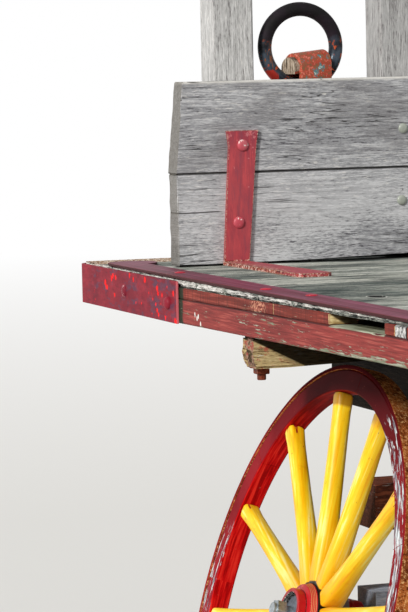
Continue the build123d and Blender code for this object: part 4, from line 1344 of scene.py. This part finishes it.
def hollow_foot(point, low, high, number):
    """The upper board's ends run out downward; the lower one rests near its ends and is hollowed between."""
    if low.z > above(50):
        up_share = portion(point, low, high, 2)
        point[1] *= 1 + (11 - 20 * up_share) * MM / RACK_END_Y
        if up_share < 0.1 and abs(point[0] - (low.x + high.x) / 2) < 20 * MM:
            point[2] -= 1.4 * MM
        return point
    point[1] *= 1 + 8 * MM / RACK_END_Y
    reach = RACK_END_Y - abs(point[1])
    gap = 1.0 + 12.0 * clamp((reach - 250 * MM) / (RACK_END_Y - 250 * MM)) ** 1.1
    low_share = 1 - portion(point, low, high, 2)
    inner_share = portion(point, low, high, 0)
    if low.x > 0:
        inner_share = 1 - inner_share
    if low_share > 0.9:
        point[2] += gap * inner_share * MM * (low_share - 0.9) / 0.1
    return point


def chewed_end(point, low, high, number):
    """The bearers' ends bulge in the middle and have crumbled away above and below."""
    share = portion(point, low, high, 2)
    near_end = max(0.0, 1 - (high.y - abs(point[1])) / (26 * MM))
    bite = 7 * abs(2 * share - 1.15) ** 1.5 + 9 * flutter((number, 0, point[2]), (1, 1, 95), 3.1) - 3
    z = point[2] - BEARER_SAG * (1 - share) * clamp((abs(point[1]) - 600 * MM) / (200 * MM))
    if abs(point[1]) > HALF_WIDTH - 62 * MM:
        z += SILL_BOW * bow((low.x + high.x) / 2) * share
    return [point[0], point[1] - math.copysign(max(0.0, bite) * MM * near_end, point[1]), z]


timbers("deck_boards", "deck_planks", 1, "deck", 2.5, 1.5, 6, 80, 11, 3, cup, 3)
timbers(
    "filler_lengths", "filler_strips", 0, "filler", 2, 1.2, 0, 60, 12, 1.5, bowed_filler
)
timbers("sill_timbers", "side_sills", 0, "sill", 3, 2.0, 0, 30, 14, 0, bowed_sill)
timbers("sill_ends", "end_sills", 1, "sill", 3, 1.5)
timbers("floor_joists", "inner_sills", 0, "timber_along", 3, 1.5)
timbers("bearer_timbers", "cross_bearers", 1, "bearer", 4, 9, 14, 40, 7, None, chewed_end)
timbers("beam_timbers", "main_beams", 0, "beam", 5, 2)
timbers("rack_boards", "rack_planks", 1, "rack", 3, 2, 2, 45, 20, None, hollow_foot)
timbers("stake_posts", "rack_stakes", 2, "stake", 4, 2, 4, 60, 22, None, stout)
timbers("rail_boards", "rack_rails", 1, "rail", 3, 1.5, 3, 60, 30)

SADDLE_FACE_Y = inset(SADDLE_INSET - SADDLE_HALF_WIDTH)


def plug_or_saddle(centre):
    """The wooden plug stands out of the fold's open side."""
    return 1 if centre.y < SADDLE_FACE_Y - 0.5 * MM else 0


NUT_START_Y = HALF_WIDTH - WHEEL_PLANE_INSET + NUT_OFFSET


def arm_or_nut(centre):
    """Bright steel on the nut and stud beyond the hub's nose."""
    return 1 if abs(centre.y) > NUT_START_Y else 0


def lean_out(point):
    """The bracket was knocked askew: its heel stands further outboard than its head."""
    share = clamp((point.z - DECK_TOP) / BRACKET_HEIGHT)
    middle = math.copysign(inset(263 + 10 * share, 1), point.y)
    narrow = 0.92 if share < 0.93 else 1.0
    side = math.copysign(1, point.y)
    shift = side * (5.5 - 8.7 * share) * MM
    toe = abs(point.x - MIDDLE_X) - (HALF_LENGTH - RACK_FACE - BRACKET_FOOT)
    if point.z < above(12) and abs(point.y) < abs(middle) and toe < 30 * MM:
        shift -= side * 8 * MM
    return Vector((point.x, middle + (point.y - middle) * narrow + shift, point.z))


def pulled_round(point):
    """The ring has pulled the fold round and down at its open side."""
    share = clamp((point.z - above(330)) / (90 * MM))
    turn = Matrix.Rotation(math.radians(18) * share, 3, "Z")
    middle = Vector((RING_X, inset(SADDLE_INSET), point.z))
    turned = middle + turn @ (point - middle)
    turned.z += 0.09 * (point.y - middle.y) * share
    return turned


# Nodes that keep their form, with eased arrises. Node, width in mm, finish, slot, body.
EASED = (
    ("edge_strips", 1.2, "strip", "strip_iron", "bed"),
    ("corner_straps", 1.2, "strap", "strap_red", "bed"),
    ("rear_bolster", 4, "bolster", "bare_timber", "bed"),
    ("rear_axle_tree", 5, "axle", "bare_timber", "bed"),
    ("reach_pole", 4, "timber_along", "bare_timber", "bed"),
    ("rear_hounds", 4, "timber_along", "bare_timber", "bed"),
    ("front_bolster", 5, "timber_across", "bare_timber", "bed"),
    ("turntable_upper", 1.5, "iron", "iron", "bed"),
    ("kingpin", 1.5, "iron", "iron", "bed"),
    ("turntable_lower", 1.5, "iron", "iron", "turning_gear"),
    ("front_sand_board", 5, "timber_across", "bare_timber", "turning_gear"),
    ("front_axle_tree", 5, "axle", "bare_timber", "turning_gear"),
    ("front_hounds", 4, "timber_along", "bare_timber", "turning_gear"),
    ("tongue_pin", 1.2, "iron", "iron", "turning_gear"),
    ("tongue_pole", 3, "pole", "bare_timber", "tongue"),
    ("tongue_eye", 2, "iron", "iron", "tongue"),
)
for node, width, finish_name, slot, body in EASED:
    eased(f"{node}_eased", node, width, [finish_name], body)
eased("rack_brackets_eased", "rack_brackets", 1.2, ["bracket"], "bed", None, lean_out)
eased(
    "ring_eye_eased", "ring_eye", 1.5, ["saddle", "plug"], "bed", plug_or_saddle,
    pulled_round,
)
eased("rear_arms_eased", "rear_axle_arms", 1.2, ["arm", "steel"], "bed", arm_or_nut)
eased("front_arms_eased", "front_axle_arms", 1.2, ["arm", "steel"], "turning_gear", arm_or_nut)

ring = frame["nodes"]["tie_ring"]
ring.data.materials.clear()
ring.data.materials.append(finishes["ring"])


# Fasteners: domed bolt heads, flat rivets and square nuts, each set joined in one mesh.
def fasteners(name, places, finish_name, body):
    """Places: a point on the surface, the way it faces, radius, height and number of sides, 24 for a dome."""
    points = []
    faces = []
    for where, facing, radius, height, sides in places:
        turn = Vector(facing).normalized().to_track_quat("Z", "Y").to_matrix()
        if sides > 8:
            rings = [(radius, 0.0), (radius, height * 0.25)]
            for index in range(1, 5):
                angle = math.radians(90 * index / 5)
                rings.append((radius * math.cos(angle), height * (0.25 + 0.75 * math.sin(angle))))
        else:
            rings = [(radius, 0.0), (radius, height * 0.85), (radius * 0.9, height)]
        head = []
        for ring_radius, lift in rings:
            for index in range(sides):
                angle = 2 * math.pi * (index + 0.5) / sides
                local = Vector((ring_radius * math.cos(angle), ring_radius * math.sin(angle), lift))
                head.append(Vector(where) + turn @ local)
        add(points, faces, head, tube_faces(len(rings), sides))
    return piece(name, points, faces, body, [finish_name], (), None, 35)


DOME = 24
REAR_FACE_X = REAR_X + RACK_FACE
FRONT_FACE_X = FRONT_X - RACK_FACE

strap_bolts = []
for side in SIDES:
    for along, height, radius, proud in ((338, -48, 14, 6), (655, -53, 14, 11)):
        for x in (REAR_X + along * MM, FRONT_X - along * MM):
            place = (x, side * (HALF_WIDTH + STRAP_THICKNESS - 1 * MM), above(height))
            strap_bolts.append((place, (0, side, 0), radius * MM, proud * MM, DOME))
fasteners("strap_bolt_heads", strap_bolts, "strap_bolt", "bed")

bracket_rivets = []
board_bolts = []
for x, facing in ((REAR_FACE_X, 1), (FRONT_FACE_X, -1)):
    for side in SIDES:
        for across, height in ((275, 267), (262, 95)):
            point = (x + facing * BRACKET_THICKNESS, inset(across, side), above(height))
            bracket_rivets.append((point, (facing, 0, 0), 13 * MM, 6 * MM, DOME))
        for across, height in ((664, 294), (658, 131)):
            point = (x, inset(across, side), above(height))
            board_bolts.append((point, (facing, 0, 0), 11.5 * MM, 6 * MM, DOME))
        for across, height in ((672, 760), (672, 1060), (270, 760), (270, 1060)):
            rail_face = x - facing * RAIL_SET_BACK
            point = (rail_face, inset(across, side), above(height))
            board_bolts.append((point, (facing, 0, 0), 12 * MM, 6 * MM, DOME))
fasteners("bracket_rivet_heads", bracket_rivets, "rivet", "bed")
fasteners("board_bolt_heads", board_bolts, "bolt", "bed")

bearer_nuts = []
for low, high in solid_boxes("cross_bearers"):
    if high.y < HALF_WIDTH - 50 * MM:
        continue
    middle = (low.x + high.x) / 2
    for side in SIDES:
        for drop, radius, height, sides in ((0, 24, 3, DOME), (3, 18, 11, 4), (14, 9, 12, 8)):
            place = (middle, inset(34, side), BEARER_LOW - BEARER_SAG + 1 * MM - drop * MM)
            bearer_nuts.append((place, (0, 0, -1), radius * MM, height * MM, sides))
fasteners("bearer_nut_set", bearer_nuts, "rust", "bed")

strip_rivets = []
for side in SIDES:
    for along, across in ((1169, 32), (1373, 52), (2300, 30), (3000, 46), (3700, 34), (600, 40)):
        place = (station(along), inset(across, side), DECK_TOP + STRIP_THICKNESS)
        strip_rivets.append((place, (0, 0, 1), 12 * MM, 3 * MM, DOME))
fasteners("strip_rivet_heads", strip_rivets, "strip_rivet", "bed")


# Stage: a pale floor that turns white far off, soft light and the camera.
FLOOR_SIZE = 440.0
SHADE_STRENGTH = 0.46
SUN_STRENGTH = 3.0
SUN_SPREAD = math.radians(9)
TOWARD_SUN = Vector((0.52, -0.72, 0.46)).normalized()


def stage_floor():
    bpy.ops.mesh.primitive_plane_add(size=FLOOR_SIZE, location=(0, 0, 0))
    floor = bpy.context.object
    floor.name = "floor"
    s = Finish("floor_paint")
    away = s.vector("LENGTH", s.coords)
    far = s.step(away, 7.0, 22.0)
    path = s.node("ShaderNodeLightPath")
    seen = s.most(path.outputs["Is Camera Ray"], path.outputs["Is Glossy Ray"])
    seen = s.most(seen, path.outputs["Is Transmission Ray"])
    white = s.value(0, "ShaderNodeEmission", {"Color": (255, 255, 255), "Strength": 1.0})
    s.colour = (232, 232, 230)
    s.finish(0.9)
    blend = s.node("ShaderNodeMixShader", {0: far * seen, 1: s.shader.outputs[0], 2: white})
    s.tree.links.new(blend.outputs[0], s.output.inputs[0])
    floor.data.materials.append(s.material)


def stage_light():
    world = bpy.data.worlds.new("studio")
    bpy.context.scene.world = world
    world.use_nodes = True
    tree = world.node_tree
    tree.nodes.clear()
    path = tree.nodes.new("ShaderNodeLightPath")
    seen = path.outputs["Is Camera Ray"]
    for ray in ("Is Glossy Ray", "Is Transmission Ray"):
        either = tree.nodes.new("ShaderNodeMath")
        either.operation = "MAXIMUM"
        tree.links.new(seen, either.inputs[0])
        tree.links.new(path.outputs[ray], either.inputs[1])
        seen = either.outputs[0]
    strength = tree.nodes.new("ShaderNodeMapRange")
    strength.inputs["To Min"].default_value = SHADE_STRENGTH
    strength.inputs["To Max"].default_value = 1.0
    tree.links.new(seen, strength.inputs["Value"])
    background = tree.nodes.new("ShaderNodeBackground")
    background.inputs["Color"].default_value = (1, 1, 1, 1)
    tree.links.new(strength.outputs[0], background.inputs["Strength"])
    output = tree.nodes.new("ShaderNodeOutputWorld")
    tree.links.new(background.outputs[0], output.inputs[0])
    sun = bpy.data.lights.new("key", "SUN")
    sun.energy = SUN_STRENGTH
    sun.angle = SUN_SPREAD
    sun.color = (1.0, 0.97, 0.92)
    lamp = bpy.data.objects.new("key", sun)
    bpy.context.scene.collection.objects.link(lamp)
    lamp.rotation_mode = "QUATERNION"
    lamp.rotation_quaternion = TOWARD_SUN.to_track_quat("Z", "Y")
    bpy.context.scene.view_settings.view_transform = "Standard"


CAMERA_STATION = 7099
CAMERA_OUTSIDE = 2.078
CAMERA_ABOVE_DECK = 0.469
CAMERA_ROLL = math.radians(1.263)
CAMERA_FORWARD = Vector((-0.9456, 0.3158, -0.0781)).normalized()
SENSOR_WIDTH = 36.0
FOCAL_PIXELS = 3200.0
PHOTO_WIDTH = 408


def stage_camera():
    data = bpy.data.cameras.new("camera")
    data.sensor_fit = "HORIZONTAL"
    data.sensor_width = SENSOR_WIDTH
    data.lens = FOCAL_PIXELS * SENSOR_WIDTH / PHOTO_WIDTH
    data.clip_end = 600
    camera = bpy.data.objects.new("camera", data)
    bpy.context.scene.collection.objects.link(camera)
    level = CAMERA_FORWARD.cross(Vector((0, 0, 1))).normalized()
    upright = level.cross(CAMERA_FORWARD)
    right = math.cos(CAMERA_ROLL) * level - math.sin(CAMERA_ROLL) * upright
    up = math.sin(CAMERA_ROLL) * level + math.cos(CAMERA_ROLL) * upright
    turn = Matrix((right, up, -CAMERA_FORWARD)).transposed().to_4x4()
    spot = Vector((station(CAMERA_STATION), -HALF_WIDTH - CAMERA_OUTSIDE, DECK_TOP + CAMERA_ABOVE_DECK))
    camera.matrix_world = Matrix.Translation(spot) @ turn
    bpy.context.scene.camera = camera


stage_floor()
stage_light()
stage_camera()
